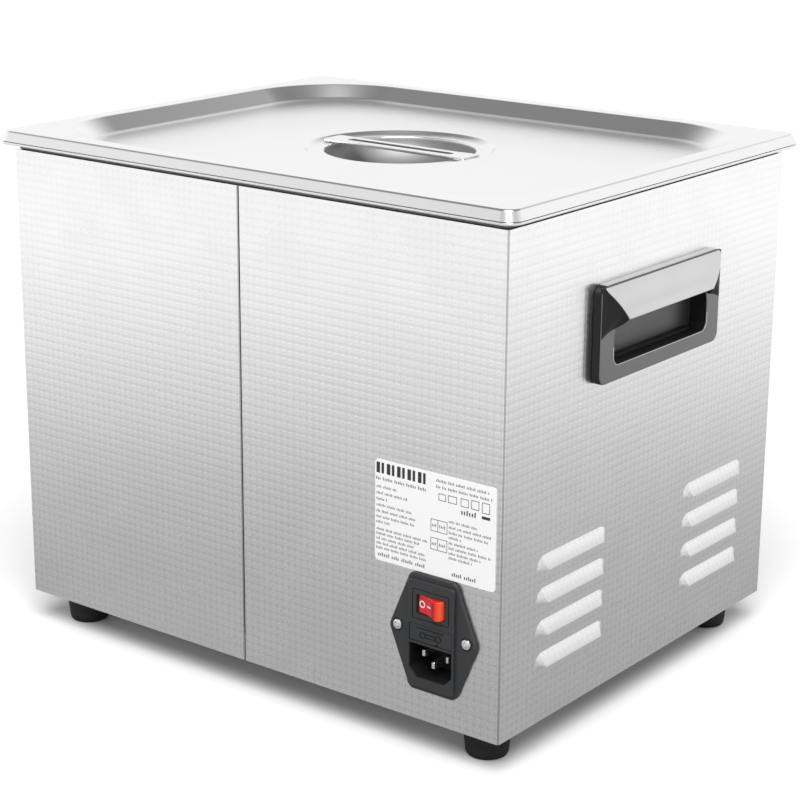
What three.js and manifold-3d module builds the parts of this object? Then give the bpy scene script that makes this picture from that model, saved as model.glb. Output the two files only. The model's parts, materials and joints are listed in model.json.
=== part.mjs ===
// Bench-top ultrasonic cleaner of the 10 litre class. Millimetres, +Z up, control panel facing -Y.
// The casing is centred on X = 0 while it is built. The finished group is then moved along X, because the
// drain valve sticks out on one side, so that the origin is the bottom centre of the whole box.
import * as THREE from "three";
import Module from "manifold-3d";
import { mergeVertices } from "three/addons/utils/BufferGeometryUtils.js";
import { ConvexGeometry } from "three/addons/geometries/ConvexGeometry.js";

const wasm = await Module();
wasm.setup();

// ---------------------------------------------------------------- driving dimensions
const GAP = 0.3; // clearance kept between touching pieces
const CASING = { halfX: 156.5, halfY: 124.5, height: 245, bend: 1.5, sheet: 1.0 };
const FOOT = { height: 17.5, topRadius: 12.1, bottomRadius: 10.6, inset: 21, bore: 2.4, headBore: 5 };
const TRAY = { sheet: 1.2, wall: 12, lift: 0.5 };
const TANK = { halfX: 147.5, halfY: 117.5, corner: 36, sheet: 1.2, depth: 150, fillet: 14 };
const RIM = { halfX: 163.5, halfY: 131.5, corner: 8, sheet: 1.4, seal: 2.9 };
const LID = { halfX: 163, halfY: 131, corner: 8, sheet: 1, skirt: 4, dome: 5.2, recess: 8, recessCorner: 55 };
const DISH = { radius: 49.5, ledge: 47, bowl: 39.5, step: 1.6, depth: 22 };
const STRAP = { length: 92, width: 12, endWidth: 15, flare: 38, sheet: 1.5, groove: 4, grooveLength: 68 };
const HANDLE = {
  width: 110, height: 48, flange: 4.6, reach: 10.6, pocket: 5, wall: 1.2, corner: 5, rise: 183,
};
const LOUVRE = { length: 60, height: 7, bulge: 2.9, pitch: 16.4, rows: 4, columnY: 66, rise: 28.7 };
const INLET = { x: -118.9, rise: 47, plate: 2, raised: 1.5, screwX: 20.1 };
const FLANGE = { drop: 1.3, halfWidth: 25.7, halfHeight: 29.6, flatHalf: 13.3 };
const INLET_BODY = { halfX: 14.2, below: 27.5, above: 24.9, depth: 24 };
const LABEL = { x: -118.1, rise: 100.8, width: 70, height: 50.4, sheet: 0.25, corner: 2 };
const PANEL = { width: 216, height: 78, rise: 48, sheet: 2, corner: 6, cutX: 98, cutZ: 30 };
const DISPLAY = { x: -52, width: 92, height: 34, sheet: 1.4 };
const BUTTON = { width: 17.4, height: 11.4, proud: 1, pitchX: 29, pitchZ: 24, firstX: 20 };
const VALVE = { rise: 32.5, bore: 5, ball: 7.8, seat: 8.8, outlet: 199.1, ballX: 174, stem: 3 };
const DRAIN = { x: 112, outer: 8, inner: 6, bend: 20 };
const TRANSDUCER = { x: 72, y: 52, hornTop: 22.5, radius: 19, horn: 24, stack: 12, mass: 20, bolt: 5 };
const FAN = { size: 60, depth: 15, y: 86, hub: 12, blades: 7 };
const GENERATOR = { rise: 7.5, sheet: 1.6, halfX: 68, y0: -78, y1: 72, hole: 6 };

const BASE_Z = FOOT.height;
const CASING_TOP = BASE_Z + CASING.height;
const RIM_BOTTOM = CASING_TOP + RIM.seal + GAP;
const RIM_TOP = RIM_BOTTOM + RIM.sheet;
const LID_TOP = RIM_TOP + 0.2 + LID.dome;
const LID_FLOOR = LID_TOP - LID.recess;
const TANK_FLOOR = RIM_TOP - TANK.depth;
const TANK_UNDER = TANK_FLOOR - TANK.sheet;
const TRAY_Z = BASE_Z + TRAY.lift;
const TRAY_TOP = TRAY_Z + TRAY.sheet;
const HANDLE_Z = BASE_Z + HANDLE.rise;
const INLET_Z = BASE_Z + INLET.rise;
const LABEL_Z = BASE_Z + LABEL.rise;
const PANEL_Z = BASE_Z + PANEL.rise;
const VALVE_Z = BASE_Z + VALVE.rise;
const LIP_X = CASING.halfX + HANDLE.reach;
const SHIFT_X = (VALVE.outlet - LIP_X) / 2;
const POCKET = { halfY: 43, z0: HANDLE_Z - 16, z1: HANDLE_Z + 19.3 };
const HANDLE_CUT = {
  halfY: POCKET.halfY + HANDLE.wall + GAP,
  z0: POCKET.z0 - HANDLE.wall - GAP,
  z1: POCKET.z1 + HANDLE.wall + GAP,
};
const BOARD_Z = BASE_Z + GENERATOR.rise;

// ---------------------------------------------------------------- materials
function finish(color, roughness, metalness) {
  return new THREE.MeshStandardMaterial({ color, roughness, metalness });
}

const STEEL = finish(0xd9dadb, 0.32, 0.9);
const EMBOSSED_STEEL = finish(0xdcdddd, 0.42, 0.85);
const SCREW_STEEL = finish(0xc9cacc, 0.25, 1);
const BLACK_PLASTIC = finish(0x1c1d1f, 0.5, 0);
const SATIN_PLASTIC = finish(0x9a9b9d, 0.35, 0.7);
const RUBBER = finish(0x151515, 0.85, 0);
const RED_PLASTIC = finish(0xd51f22, 0.25, 0);
const LABEL_FILM = finish(0xf4f4f2, 0.5, 0);
const PANEL_FILM = finish(0x23303f, 0.4, 0);
const LENS = finish(0x2a0f12, 0.1, 0);
const KEY_PLASTIC = finish(0xdfe2e4, 0.45, 0);
const BOARD = finish(0x1f5a38, 0.6, 0);
const ALUMINIUM = finish(0xb9bcc0, 0.45, 1);
const CERAMIC = finish(0xc9c2ad, 0.6, 0);
const BRASS = finish(0xc2a45c, 0.35, 1);
const GLASS = finish(0xdde6e6, 0.05, 0);
const SILICONE = finish(0xb5562d, 0.7, 0);

// ---------------------------------------------------------------- solids
function solidOf(geometry) {
  const bare = geometry.clone();
  for (const name of Object.keys(bare.attributes)) {
    if (name !== "position") bare.deleteAttribute(name);
  }
  const welded = mergeVertices(bare, 1e-4);
  const position = welded.attributes.position;
  const corners = welded.index.array;
  const faces = [];
  let volume = 0;
  const [a, b, c] = [new THREE.Vector3(), new THREE.Vector3(), new THREE.Vector3()];
  for (let i = 0; i < corners.length; i += 3) {
    const [p, q, r] = corners.slice(i, i + 3);
    if (p !== q && q !== r && r !== p) {
      faces.push([p, q, r]);
      volume += a.fromBufferAttribute(position, p)
        .dot(b.fromBufferAttribute(position, q).cross(c.fromBufferAttribute(position, r)));
    }
  }
  const outward = volume < 0 ? faces.map(([p, q, r]) => [p, r, q]) : faces;
  const triVerts = new Uint32Array(outward.flat());
  return new wasm.Manifold(new wasm.Mesh({ numProp: 3, vertProperties: position.array, triVerts }));
}

function geometryOf(solid) {
  const mesh = solid.getMesh();
  const geometry = new THREE.BufferGeometry();
  geometry.setAttribute("position", new THREE.BufferAttribute(mesh.vertProperties, 3));
  geometry.setIndex(new THREE.BufferAttribute(mesh.triVerts, 1));
  geometry.computeVertexNormals();
  return geometry;
}

function join(...solids) {
  return solids.reduce((whole, next) => whole.add(next));
}

function cut(solid, ...tools) {
  return tools.reduce((left, tool) => left.subtract(tool), solid);
}

function block(x0, x1, y0, y1, z0, z1) {
  const box = new THREE.BoxGeometry(x1 - x0, y1 - y0, z1 - z0);
  return solidOf(box.translate((x0 + x1) / 2, (y0 + y1) / 2, (z0 + z1) / 2));
}

function extrusion(shape, length, segments) {
  return new THREE.ExtrudeGeometry(shape, { depth: length, bevelEnabled: false, curveSegments: segments });
}

// A shape drawn in (x, y), raised from z0 to z1.
function alongZ(shape, z0, z1, segments = 3) {
  return solidOf(extrusion(shape, z1 - z0, segments).translate(0, 0, z0));
}

// A shape drawn in (x, z), running from y0 to y1.
function alongY(shape, y0, y1, segments = 3) {
  return solidOf(extrusion(shape, y1 - y0, segments).rotateX(Math.PI / 2).translate(0, y1, 0));
}

// A shape drawn in (y, z), running from x0 to x1.
function alongX(shape, x0, x1, segments = 3) {
  const turn = new THREE.Matrix4().makeBasis(
    new THREE.Vector3(0, 1, 0),
    new THREE.Vector3(0, 0, 1),
    new THREE.Vector3(1, 0, 0),
  );
  return solidOf(extrusion(shape, x1 - x0, segments).applyMatrix4(turn).translate(x0, 0, 0));
}

function polygon(points) {
  return new THREE.Shape(points.map(([x, y]) => new THREE.Vector2(x, y)));
}

function disc(radius, x = 0, y = 0) {
  return new THREE.Shape().absarc(x, y, radius, 0, 2 * Math.PI);
}

function hexagon(radius, x = 0, y = 0) {
  const corners = [0, 1, 2, 3, 4, 5].map((side) => side * Math.PI / 3);
  return polygon(corners.map((angle) => [x + radius * Math.cos(angle), y + radius * Math.sin(angle)]));
}

function roundedRect(halfX, halfY, radius, x = 0, y = 0) {
  const shape = new THREE.Shape();
  const [dx, dy] = [halfX - radius, halfY - radius];
  shape.absarc(x + dx, y + dy, radius, 0, Math.PI / 2);
  shape.absarc(x - dx, y + dy, radius, Math.PI / 2, Math.PI);
  shape.absarc(x - dx, y - dy, radius, Math.PI, 1.5 * Math.PI);
  shape.absarc(x + dx, y - dy, radius, 1.5 * Math.PI, 2 * Math.PI);
  return shape;
}

// A profile of [radius, z] points turned about a vertical axis at (x, y).
function turned(profile, x = 0, y = 0, segments = 16) {
  const points = profile.map(([radius, z]) => new THREE.Vector2(radius, z));
  return solidOf(new THREE.LatheGeometry(points, segments).rotateX(Math.PI / 2).translate(x, y, 0));
}

// The same, about an axis along X through (y, z): profile points are [radius, x].
function turnedX(profile, y, z, segments = 16) {
  const points = profile.map(([radius, x]) => new THREE.Vector2(radius, x));
  return solidOf(new THREE.LatheGeometry(points, segments).rotateZ(-Math.PI / 2).translate(0, y, z));
}

// Closed skin through level rounded rectangles [halfX, halfY, corner, z]. The ends are capped with flat
// fans, or joined to each other when the skin is a loop.
function loft(rings, { steps = 5, loop = false } = {}) {
  const points = [];
  const quarter = [[1, 1], [-1, 1], [-1, -1], [1, -1]];
  for (const [halfX, halfY, corner, z] of rings) {
    quarter.forEach(([sx, sy], side) => {
      for (let step = 0; step <= steps; step += 1) {
        const angle = (side + step / steps) * Math.PI / 2;
        const x = sx * (halfX - corner) + corner * Math.cos(angle);
        const y = sy * (halfY - corner) + corner * Math.sin(angle);
        points.push(x, y, z);
      }
    });
  }
  const count = 4 * (steps + 1);
  const faces = [];
  const bands = loop ? rings.length : rings.length - 1;
  for (let band = 0; band < bands; band += 1) {
    const low = band * count;
    const high = ((band + 1) % rings.length) * count;
    for (let i = 0; i < count; i += 1) {
      const j = (i + 1) % count;
      faces.push(low + i, low + j, high + j, low + i, high + j, high + i);
    }
  }
  if (!loop) {
    const first = rings[0];
    const last = rings[rings.length - 1];
    const centre = points.length / 3;
    points.push(0, 0, first[3], 0, 0, last[3]);
    const top = (rings.length - 1) * count;
    for (let i = 0; i < count; i += 1) {
      const j = (i + 1) % count;
      faces.push(centre, j, i, centre + 1, top + i, top + j);
    }
  }
  const geometry = new THREE.BufferGeometry();
  geometry.setAttribute("position", new THREE.Float32BufferAttribute(points, 3));
  geometry.setIndex(faces);
  return solidOf(geometry);
}

function mirroredX(geometry) {
  return solidOf(geometry.applyMatrix4(new THREE.Matrix4().makeScale(-1, 1, 1)));
}

const cleaner = new THREE.Group();

function place(name, solid, material) {
  const mesh = new THREE.Mesh(geometryOf(solid), material);
  mesh.name = name;
  cleaner.add(mesh);
}

// ---------------------------------------------------------------- feet
const FOOT_PLACES = {
  front_left: [-1, -1],
  front_right: [1, -1],
  back_left: [-1, 1],
  back_right: [1, 1],
};

function footCentre([sx, sy]) {
  return [sx * (CASING.halfX - FOOT.inset), sy * (CASING.halfY - FOOT.inset)];
}

function foot(x, y) {
  const top = TRAY_Z - GAP;
  return turned([
    [FOOT.headBore, 0], [FOOT.bottomRadius - 1.6, 0], [FOOT.bottomRadius, 2],
    [FOOT.topRadius, top], [FOOT.bore, top], [FOOT.bore, 9.3], [FOOT.headBore, 9.3], [FOOT.headBore, 0],
  ], x, y);
}

function footScrew(x, y) {
  const shank = FOOT.bore - GAP;
  return turned([
    [0, 5.4], [3.2, 5.4], [4.5, 6.6], [4.5, 9], [shank, 9], [shank, 25], [shank - 1, 26.5], [0, 26.5],
  ], x, y, 12);
}

for (const [name, corner] of Object.entries(FOOT_PLACES)) {
  const [x, y] = footCentre(corner);
  place(`foot_${name}`, foot(x, y), RUBBER);
  place(`foot_screw_${name}`, footScrew(x, y), SCREW_STEEL);
}

// ---------------------------------------------------------------- base tray
function boardCorners() {
  const { halfX, y0, y1, hole } = GENERATOR;
  return [-1, 1].flatMap((side) => [y0 + hole, y1 - hole].map((y) => [side * (halfX - hole), y]));
}

function baseTray() {
  const [halfX, halfY] = [CASING.halfX - CASING.sheet - GAP, CASING.halfY - CASING.sheet - GAP];
  const outer = alongZ(roundedRect(halfX, halfY, 1), TRAY_Z, TRAY_TOP + TRAY.wall, 2);
  const inner = roundedRect(halfX - TRAY.sheet, halfY - TRAY.sheet, 0.8);
  let tray = cut(outer, alongZ(inner, TRAY_TOP, TRAY_TOP + TRAY.wall + 1, 2));
  for (const corner of Object.values(FOOT_PLACES)) {
    tray = cut(tray, alongZ(disc(FOOT.bore, ...footCentre(corner)), TRAY_Z - 1, TRAY_TOP + 1, 4));
  }
  for (let slot = 0; slot < 7; slot += 1) {
    const x = 84 + slot * 9;
    for (const side of [-1, 1]) {
      tray = cut(tray, block(side * x - 2, side * x + 2, -32, 32, TRAY_Z - 1, TRAY_TOP + 1));
    }
  }
  for (const [x, y] of boardCorners()) {
    tray = join(tray, alongZ(disc(3, x, y), TRAY_TOP - 0.2, BOARD_Z - GAP, 2));
  }
  return tray;
}

place("base_tray", baseTray(), STEEL);

// ---------------------------------------------------------------- casing wrap with its louvres
// One louvre as a lens that stands out along +X from the panel face, its flat underside on z = z0.
function louvreLens(face, y0, z0, height, bulge, inward, drop) {
  const half = LOUVRE.length / 2;
  const end = LOUVRE.height;
  const stations = [-half, -half + end * 0.25, -half + end];
  const spots = [...stations, ...stations.map((y) => -y).reverse()];
  const rings = spots.map((y) => {
    const reach = Math.max(0, Math.abs(y) - (half - end)) / end;
    const scale = Math.max(0.08, Math.sqrt(1 - reach * reach));
    const arc = [0, 0.75, 1.3].map((angle) => (
      [bulge * scale * Math.cos(angle), Math.max(0.05, height * scale * Math.sin(angle))]
    ));
    arc[0][1] = -drop;
    return [[-inward, -drop], ...arc, [-inward, height * scale]].map(([out, up]) => [out, y, up]);
  });
  const count = rings[0].length;
  const points = rings.flat(2);
  const faces = [];
  for (let band = 0; band < rings.length - 1; band += 1) {
    for (let i = 0; i < count; i += 1) {
      const [a, b] = [band * count + i, band * count + (i + 1) % count];
      faces.push(a, b, b + count, a, b + count, a + count);
    }
  }
  const last = (rings.length - 1) * count;
  for (let i = 1; i < count - 1; i += 1) {
    faces.push(0, i + 1, i, last, last + i, last + i + 1);
  }
  const geometry = new THREE.BufferGeometry();
  geometry.setAttribute("position", new THREE.Float32BufferAttribute(points, 3));
  geometry.setIndex(faces);
  return geometry.translate(face, y0, z0);
}

function louvrePlaces() {
  const places = [];
  for (const y of [-LOUVRE.columnY, LOUVRE.columnY]) {
    for (let row = 0; row < LOUVRE.rows; row += 1) {
      places.push([y, BASE_Z + LOUVRE.rise + row * LOUVRE.pitch]);
    }
  }
  return places;
}

function casingWrap() {
  const { halfX, halfY, sheet, bend } = CASING;
  const lip = TANK.sheet + 0.7;
  const outside = alongZ(roundedRect(halfX, halfY, bend), BASE_Z, CASING_TOP, 2);
  const inside = alongZ(roundedRect(halfX - sheet, halfY - sheet, 0.5), BASE_Z - 1, CASING_TOP - sheet, 1);
  const mouth = roundedRect(TANK.halfX + lip, TANK.halfY + lip, TANK.corner + lip);
  let wrap = cut(outside, inside, alongZ(mouth, CASING_TOP - 2 * sheet, CASING_TOP + 1, 4));
  wrap = cut(wrap, block(-0.25, 0.25, halfY - sheet - 8, halfY + 1, BASE_Z - 1, CASING_TOP + 1));
  wrap = cut(wrap, block(-PANEL.cutX, PANEL.cutX, -halfY - 1, -halfY + 3,
    PANEL_Z - PANEL.cutZ, PANEL_Z + PANEL.cutZ));
  wrap = cut(wrap, inletCutOut(halfY - 3, halfY + 1));
  wrap = cut(wrap, alongX(disc(11 + GAP, 0, VALVE_Z), halfX - 3, halfX + 1, 8));
  for (const side of [-1, 1]) {
    const x = side * halfX;
    wrap = cut(wrap, block(x - 4, x + 4, -HANDLE_CUT.halfY, HANDLE_CUT.halfY, HANDLE_CUT.z0, HANDLE_CUT.z1));
  }
  for (const [y, z] of louvrePlaces()) {
    const skin = [halfX, y, z, LOUVRE.height, LOUVRE.bulge, 0.5, 0];
    const hollow = [halfX, y, z, LOUVRE.height - 0.9, LOUVRE.bulge - 0.9, 2, 0.4];
    wrap = cut(join(wrap, solidOf(louvreLens(...skin))), solidOf(louvreLens(...hollow)));
    wrap = cut(join(wrap, mirroredX(louvreLens(...skin))), mirroredX(louvreLens(...hollow)));
  }
  return wrap;
}

function inletCutOut(y0, y1) {
  const halfX = INLET_BODY.halfX + GAP;
  const body = block(INLET.x - halfX, INLET.x + halfX, y0, y1,
    INLET_Z - INLET_BODY.below - GAP, INLET_Z + INLET_BODY.above + GAP);
  const holes = [-1, 1].map((side) => alongY(disc(1.7, INLET.x + side * INLET.screwX, INLET_Z), y0, y1, 6));
  return join(body, ...holes);
}

place("casing_wrap", casingWrap(), EMBOSSED_STEEL);

// ---------------------------------------------------------------- tank, seal
function tank() {
  const { halfX, halfY, corner, sheet, fillet } = TANK;
  const rings = [];
  const wall = (inset, z, grow) => rings.push([
    halfX - inset + grow, halfY - inset + grow, Math.max(corner - inset + grow, 4), z,
  ]);
  const bend = 2.5;
  for (const turn of [0, 1, 2, 3]) {
    const angle = turn * Math.PI / 6;
    wall(fillet * (1 - Math.sin(angle)), TANK_UNDER + (fillet + sheet) * (1 - Math.cos(angle)), sheet);
  }
  wall(0, RIM_BOTTOM - 0.5, sheet);
  wall(-0.8, RIM_BOTTOM, sheet);
  rings.push([RIM.halfX - 0.4, RIM.halfY - 0.4, RIM.corner - 0.4, RIM_BOTTOM]);
  rings.push([RIM.halfX, RIM.halfY, RIM.corner, RIM_BOTTOM + 0.4]);
  rings.push([RIM.halfX, RIM.halfY, RIM.corner, RIM_TOP - 0.3]);
  rings.push([RIM.halfX - 0.3, RIM.halfY - 0.3, RIM.corner - 0.3, RIM_TOP]);
  wall(-bend, RIM_TOP, 0);
  wall(-bend * 0.3, RIM_TOP - bend * 0.3, 0);
  wall(0, RIM_TOP - bend, 0);
  for (const turn of [3, 2, 1, 0]) {
    const angle = turn * Math.PI / 6;
    wall(fillet * (1 - Math.sin(angle)), TANK_FLOOR + fillet * (1 - Math.cos(angle)), 0);
  }
  const outlet = alongZ(disc(DRAIN.inner, DRAIN.x, 0), TANK_UNDER - 1, TANK_FLOOR + 1, 6);
  return cut(loft(rings), outlet);
}

place("tank", tank(), STEEL);

function rimSeal() {
  const [inner, outer] = [TANK.sheet + 0.7, 1];
  const top = CASING_TOP + RIM.seal;
  const inside = [TANK.halfX + inner, TANK.halfY + inner, TANK.corner + inner];
  const outside = [CASING.halfX + outer, CASING.halfY + outer, CASING.bend + outer + 3];
  return loft([
    [...inside, CASING_TOP + 0.2], [...outside, CASING_TOP + 0.2],
    [...outside, top], [...inside, top],
  ], { loop: true });
}

place("rim_seal", rimSeal(), RUBBER);

// ---------------------------------------------------------------- lid with its dish and strap
// The lid's section from the skirt's lower edge to the middle, as [halfX, halfY, corner, z].
function lidSection(lower) {
  const { halfX, halfY, corner, sheet, skirt, dome, recessCorner } = LID;
  const foot = LID_TOP - dome;
  const top = LID_TOP - lower;
  const floor = LID_FLOOR - lower;
  const side = lower ? -sheet : 0;
  const round = (radius, z) => [radius, radius, radius, z];
  const level = (inset, radius, z) => [halfX - inset + side, halfY - inset + side, radius, z];
  const bowl = lower ? 0.9 * sheet : 0;
  return [
    level(0, corner + side, foot),
    level(2, corner - 2 + side, foot + skirt - (lower ? 0.2 : 0)),
    level(3, corner - 3 + side, top),
    level(12.5 + 2 * side, recessCorner - side, top),
    level(13.4 + 2 * side, recessCorner - 1 - side, top - 0.7),
    level(21 + 2 * side, recessCorner - 8 - side, floor + 2.2),
    level(26 + 2 * side, recessCorner - 13 - side, floor + 0.5),
    level(31 + 2 * side, recessCorner - 17 - side, floor),
    round(DISH.radius + bowl, floor),
    round(DISH.ledge + bowl, floor - DISH.step),
    ...[0, 10, 26, 42, 58, 74, 82].map((turn) => {
      const angle = turn * Math.PI / 180;
      const drop = DISH.step + (DISH.depth - DISH.step) * Math.sin(angle);
      return round(DISH.bowl * Math.cos(angle) + bowl, floor - drop);
    }),
  ];
}

function lid() {
  return loft([...lidSection(LID.sheet).reverse(), ...lidSection(0)]);
}

function lidStrap() {
  const { length, width, endWidth, flare, sheet, groove, grooveLength } = STRAP;
  const low = LID_FLOOR - DISH.step + 0.2;
  const [end, wide, narrow] = [length / 2, endWidth / 2, width / 2];
  const corner = [[end, wide], [flare, wide], [flare - 4, narrow]];
  const far = [...corner, ...corner.map(([x, y]) => [-x, y]).reverse()];
  const near = far.map(([x, y]) => [-x, -y]);
  const bar = alongZ(polygon([...far, ...near]), low, low + sheet);
  const channel = alongZ(roundedRect(grooveLength / 2, groove / 2, groove / 2 - 0.1), low + 0.7, low + 3, 4);
  return cut(bar, channel);
}

place("lid", lid(), STEEL);
place("lid_strap", lidStrap(), STEEL);

// ---------------------------------------------------------------- recessed side handles
// The mouth of a handle in (y, z): a flat lip, drooping shoulders, upright sides and rounded lower corners.
function handleMouth(grow) {
  const bottom = POCKET.z0 - grow;
  const lip = HANDLE_Z + 7.5 + grow;
  const side = POCKET.halfY + grow;
  const round = 4.5;
  const shape = new THREE.Shape();
  shape.moveTo(-side + round, bottom);
  shape.lineTo(side - round, bottom);
  shape.absarc(side - round, bottom + round, round, -Math.PI / 2, 0);
  shape.lineTo(side, HANDLE_Z - 5);
  shape.quadraticCurveTo(side, HANDLE_Z + 4, 38.5, lip);
  shape.lineTo(-38.5, lip);
  shape.quadraticCurveTo(-side, HANDLE_Z + 4, -side, HANDLE_Z - 5);
  shape.lineTo(-side, bottom + round);
  shape.absarc(-side + round, bottom + round, round, Math.PI, 1.5 * Math.PI);
  return shape;
}

function handleBody() {
  const face = CASING.halfX + 0.1;
  const front = face + HANDLE.flange - 0.1;
  const back = CASING.halfX - HANDLE.pocket - HANDLE.wall;
  const plate = roundedRect(HANDLE.width / 2, HANDLE.height / 2, HANDLE.corner, 0, HANDLE_Z);
  const flange = alongX(plate, face, front);
  const box = block(back, face + 1, -POCKET.halfY - HANDLE.wall, POCKET.halfY + HANDLE.wall,
    POCKET.z0 - HANDLE.wall, POCKET.z1 + HANDLE.wall);
  const hollow = block(CASING.halfX - HANDLE.pocket, front + 1, -37.5, 37.5, HANDLE_Z, POCKET.z1);
  return cut(join(flange, box), alongX(handleMouth(0), CASING.halfX - HANDLE.pocket, front + 1), hollow);
}

// The hood leans out from the flange's top edge to the lip and has a slanted cheek at each end.
function handleHood() {
  const face = CASING.halfX + HANDLE.flange + 0.2;
  const top = HANDLE_Z + HANDLE.height / 2 - 0.4;
  const edge = HANDLE.width / 2 - 0.6;
  const lip = HANDLE_Z + 7.5;
  const corners = [];
  for (const side of [-1, 1]) {
    corners.push([face, side * (edge - 3), top], [face + 0.4, side * (edge - 3), top]);
    corners.push([face, side * edge, top - 4], [face, side * edge, lip - 9], [face, side * 44, lip - 5]);
    corners.push([LIP_X, side * 39, lip], [LIP_X - 1.5, side * 38, lip - 1.5]);
  }
  const hull = solidOf(new ConvexGeometry(corners.map((corner) => new THREE.Vector3(...corner))));
  const behind = LIP_X - 1.9;
  const inner = polygon([[face - 1, top - 3.5], [face - 1, lip - 9], [behind, lip - 9], [behind, lip]]);
  return cut(hull, alongX(handleMouth(0), face - 1, LIP_X + 1), alongY(inner, -37, 37));
}

for (const [name, side] of [["left", -1], ["right", 1]]) {
  const [body, hood] = [geometryOf(handleBody()), geometryOf(handleHood())];
  place(`handle_body_${name}`, side < 0 ? mirroredX(body) : solidOf(body), BLACK_PLASTIC);
  place(`handle_hood_${name}`, side < 0 ? mirroredX(hood) : solidOf(hood), SATIN_PLASTIC);
}

// ---------------------------------------------------------------- mains inlet with switch and fuse drawer
const FACE_Y = CASING.halfY + 0.1;
const PLATE_Y = FACE_Y + INLET.plate;
const FRONT_Y = PLATE_Y + INLET.raised;
const SOCKET = { x: INLET.x, z: INLET_Z - 15.1, halfX: 12.5, halfZ: 8.6, chamfer: 4.3, depth: 16 };
const DRAWER = { z: INLET_Z - 0.9, halfX: 12.4, halfZ: 4.2, depth: 22 };
const SWITCH = { z: INLET_Z + 13.7, halfX: 8, halfZ: 4.7, bezelX: 10.8, bezelZ: 7.4 };

function socketShape(grow) {
  const [x, z] = [SOCKET.halfX + grow, SOCKET.halfZ + grow];
  return polygon([
    [-x, z], [-x, SOCKET.chamfer - z], [SOCKET.chamfer - x, -z],
    [x - SOCKET.chamfer, -z], [x, SOCKET.chamfer - z], [x, z],
  ].map(([across, up]) => [SOCKET.x + across, SOCKET.z + up]));
}

function hexPlate(grow) {
  const { halfWidth, halfHeight, flatHalf, drop } = FLANGE;
  return polygon([
    [halfWidth + grow, 0], [flatHalf + grow, halfHeight + grow], [-flatHalf - grow, halfHeight + grow],
    [-halfWidth - grow, 0], [-flatHalf - grow, -halfHeight - grow], [flatHalf + grow, -halfHeight - grow],
  ].map(([across, up]) => [INLET.x + across, INLET_Z - drop + up]));
}

function inletHousing() {
  const rear = CASING.halfY - INLET_BODY.depth;
  const plate = alongY(hexPlate(0), FACE_Y, PLATE_Y);
  const raised = alongY(roundedRect(13.6, 27.1, 2, INLET.x, INLET_Z - 1.5), PLATE_Y - 0.5, FRONT_Y, 3);
  const body = block(INLET.x - INLET_BODY.halfX, INLET.x + INLET_BODY.halfX, rear, FACE_Y + 0.5,
    INLET_Z - INLET_BODY.below, INLET_Z + INLET_BODY.above);
  let housing = join(plate, raised, body);
  housing = cut(housing, alongY(socketShape(0), FRONT_Y - SOCKET.depth, FRONT_Y + 1));
  housing = cut(housing, alongY(roundedRect(SWITCH.halfX + GAP, SWITCH.halfZ + GAP, 0.5, INLET.x, SWITCH.z),
    FRONT_Y - 14, FRONT_Y + 1, 1));
  housing = cut(housing, block(INLET.x - DRAWER.halfX - GAP, INLET.x + DRAWER.halfX + GAP,
    FRONT_Y - DRAWER.depth - 1, FRONT_Y + 1, DRAWER.z - DRAWER.halfZ - GAP, DRAWER.z + DRAWER.halfZ + GAP));
  for (const pin of Object.values(PINS)) {
    housing = cut(housing, block(pin.x - pin.halfX - GAP, pin.x + pin.halfX + GAP, rear - 1, FRONT_Y - 10,
      pin.z - pin.halfZ - GAP, pin.z + pin.halfZ + GAP));
  }
  for (const side of [-1, 1]) {
    const hole = disc(1.8, INLET.x + side * INLET.screwX, INLET_Z);
    housing = cut(housing, alongY(hole, FACE_Y - 1, PLATE_Y + 1, 6));
  }
  return housing;
}

// Line and neutral blades stand 14 mm apart; the earth blade is 4 mm lower and a little longer.
const PINS = {
  pin_line: { x: SOCKET.x - 7, z: SOCKET.z + 2.6, halfX: 1, halfZ: 2, front: FRONT_Y - 4.2 },
  pin_neutral: { x: SOCKET.x + 7, z: SOCKET.z + 2.6, halfX: 1, halfZ: 2, front: FRONT_Y - 4.2 },
  pin_earth: { x: SOCKET.x, z: SOCKET.z - 1.4, halfX: 1, halfZ: 2, front: FRONT_Y - 2.4 },
};

place("inlet_housing", inletHousing(), BLACK_PLASTIC);
for (const [name, pin] of Object.entries(PINS)) {
  const blade = block(pin.x - pin.halfX, pin.x + pin.halfX, CASING.halfY - 30, pin.front,
    pin.z - pin.halfZ, pin.z + pin.halfZ);
  place(name, blade, SCREW_STEEL);
}

// The rocker turns about a vertical axle; its section is drawn in (x, y).
function powerRocker() {
  const section = polygon([
    [-7.8, -3], [-7.8, -1.2], [-0.6, 0.2], [4.4, 3.2], [6.4, 2.8], [7.7, 0.4], [7.4, -4], [4, -6.5], [-4, -6],
  ].map(([across, out]) => [INLET.x - across, FRONT_Y + out]));
  return alongZ(section, SWITCH.z - SWITCH.halfZ, SWITCH.z + SWITCH.halfZ);
}

place("power_rocker", powerRocker(), RED_PLASTIC);

function fuseDrawer() {
  const { halfX, halfZ, depth, z } = DRAWER;
  const front = FRONT_Y - 0.2;
  const shell = block(INLET.x - halfX, INLET.x + halfX, FRONT_Y - depth, front, z - halfZ, z + halfZ);
  const well = block(INLET.x - halfX + 1, INLET.x + halfX - 1, FRONT_Y - depth + 1, FRONT_Y - 3,
    z - halfZ + 1, z + halfZ + 1);
  return cut(shell, well);
}

function fuse() {
  const section = disc(2.5, FRONT_Y - 11, DRAWER.z);
  return alongX(section, INLET.x - 10, INLET.x + 10, 6);
}

place("fuse_drawer", fuseDrawer(), BLACK_PLASTIC);
place("fuse", fuse(), GLASS);

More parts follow.
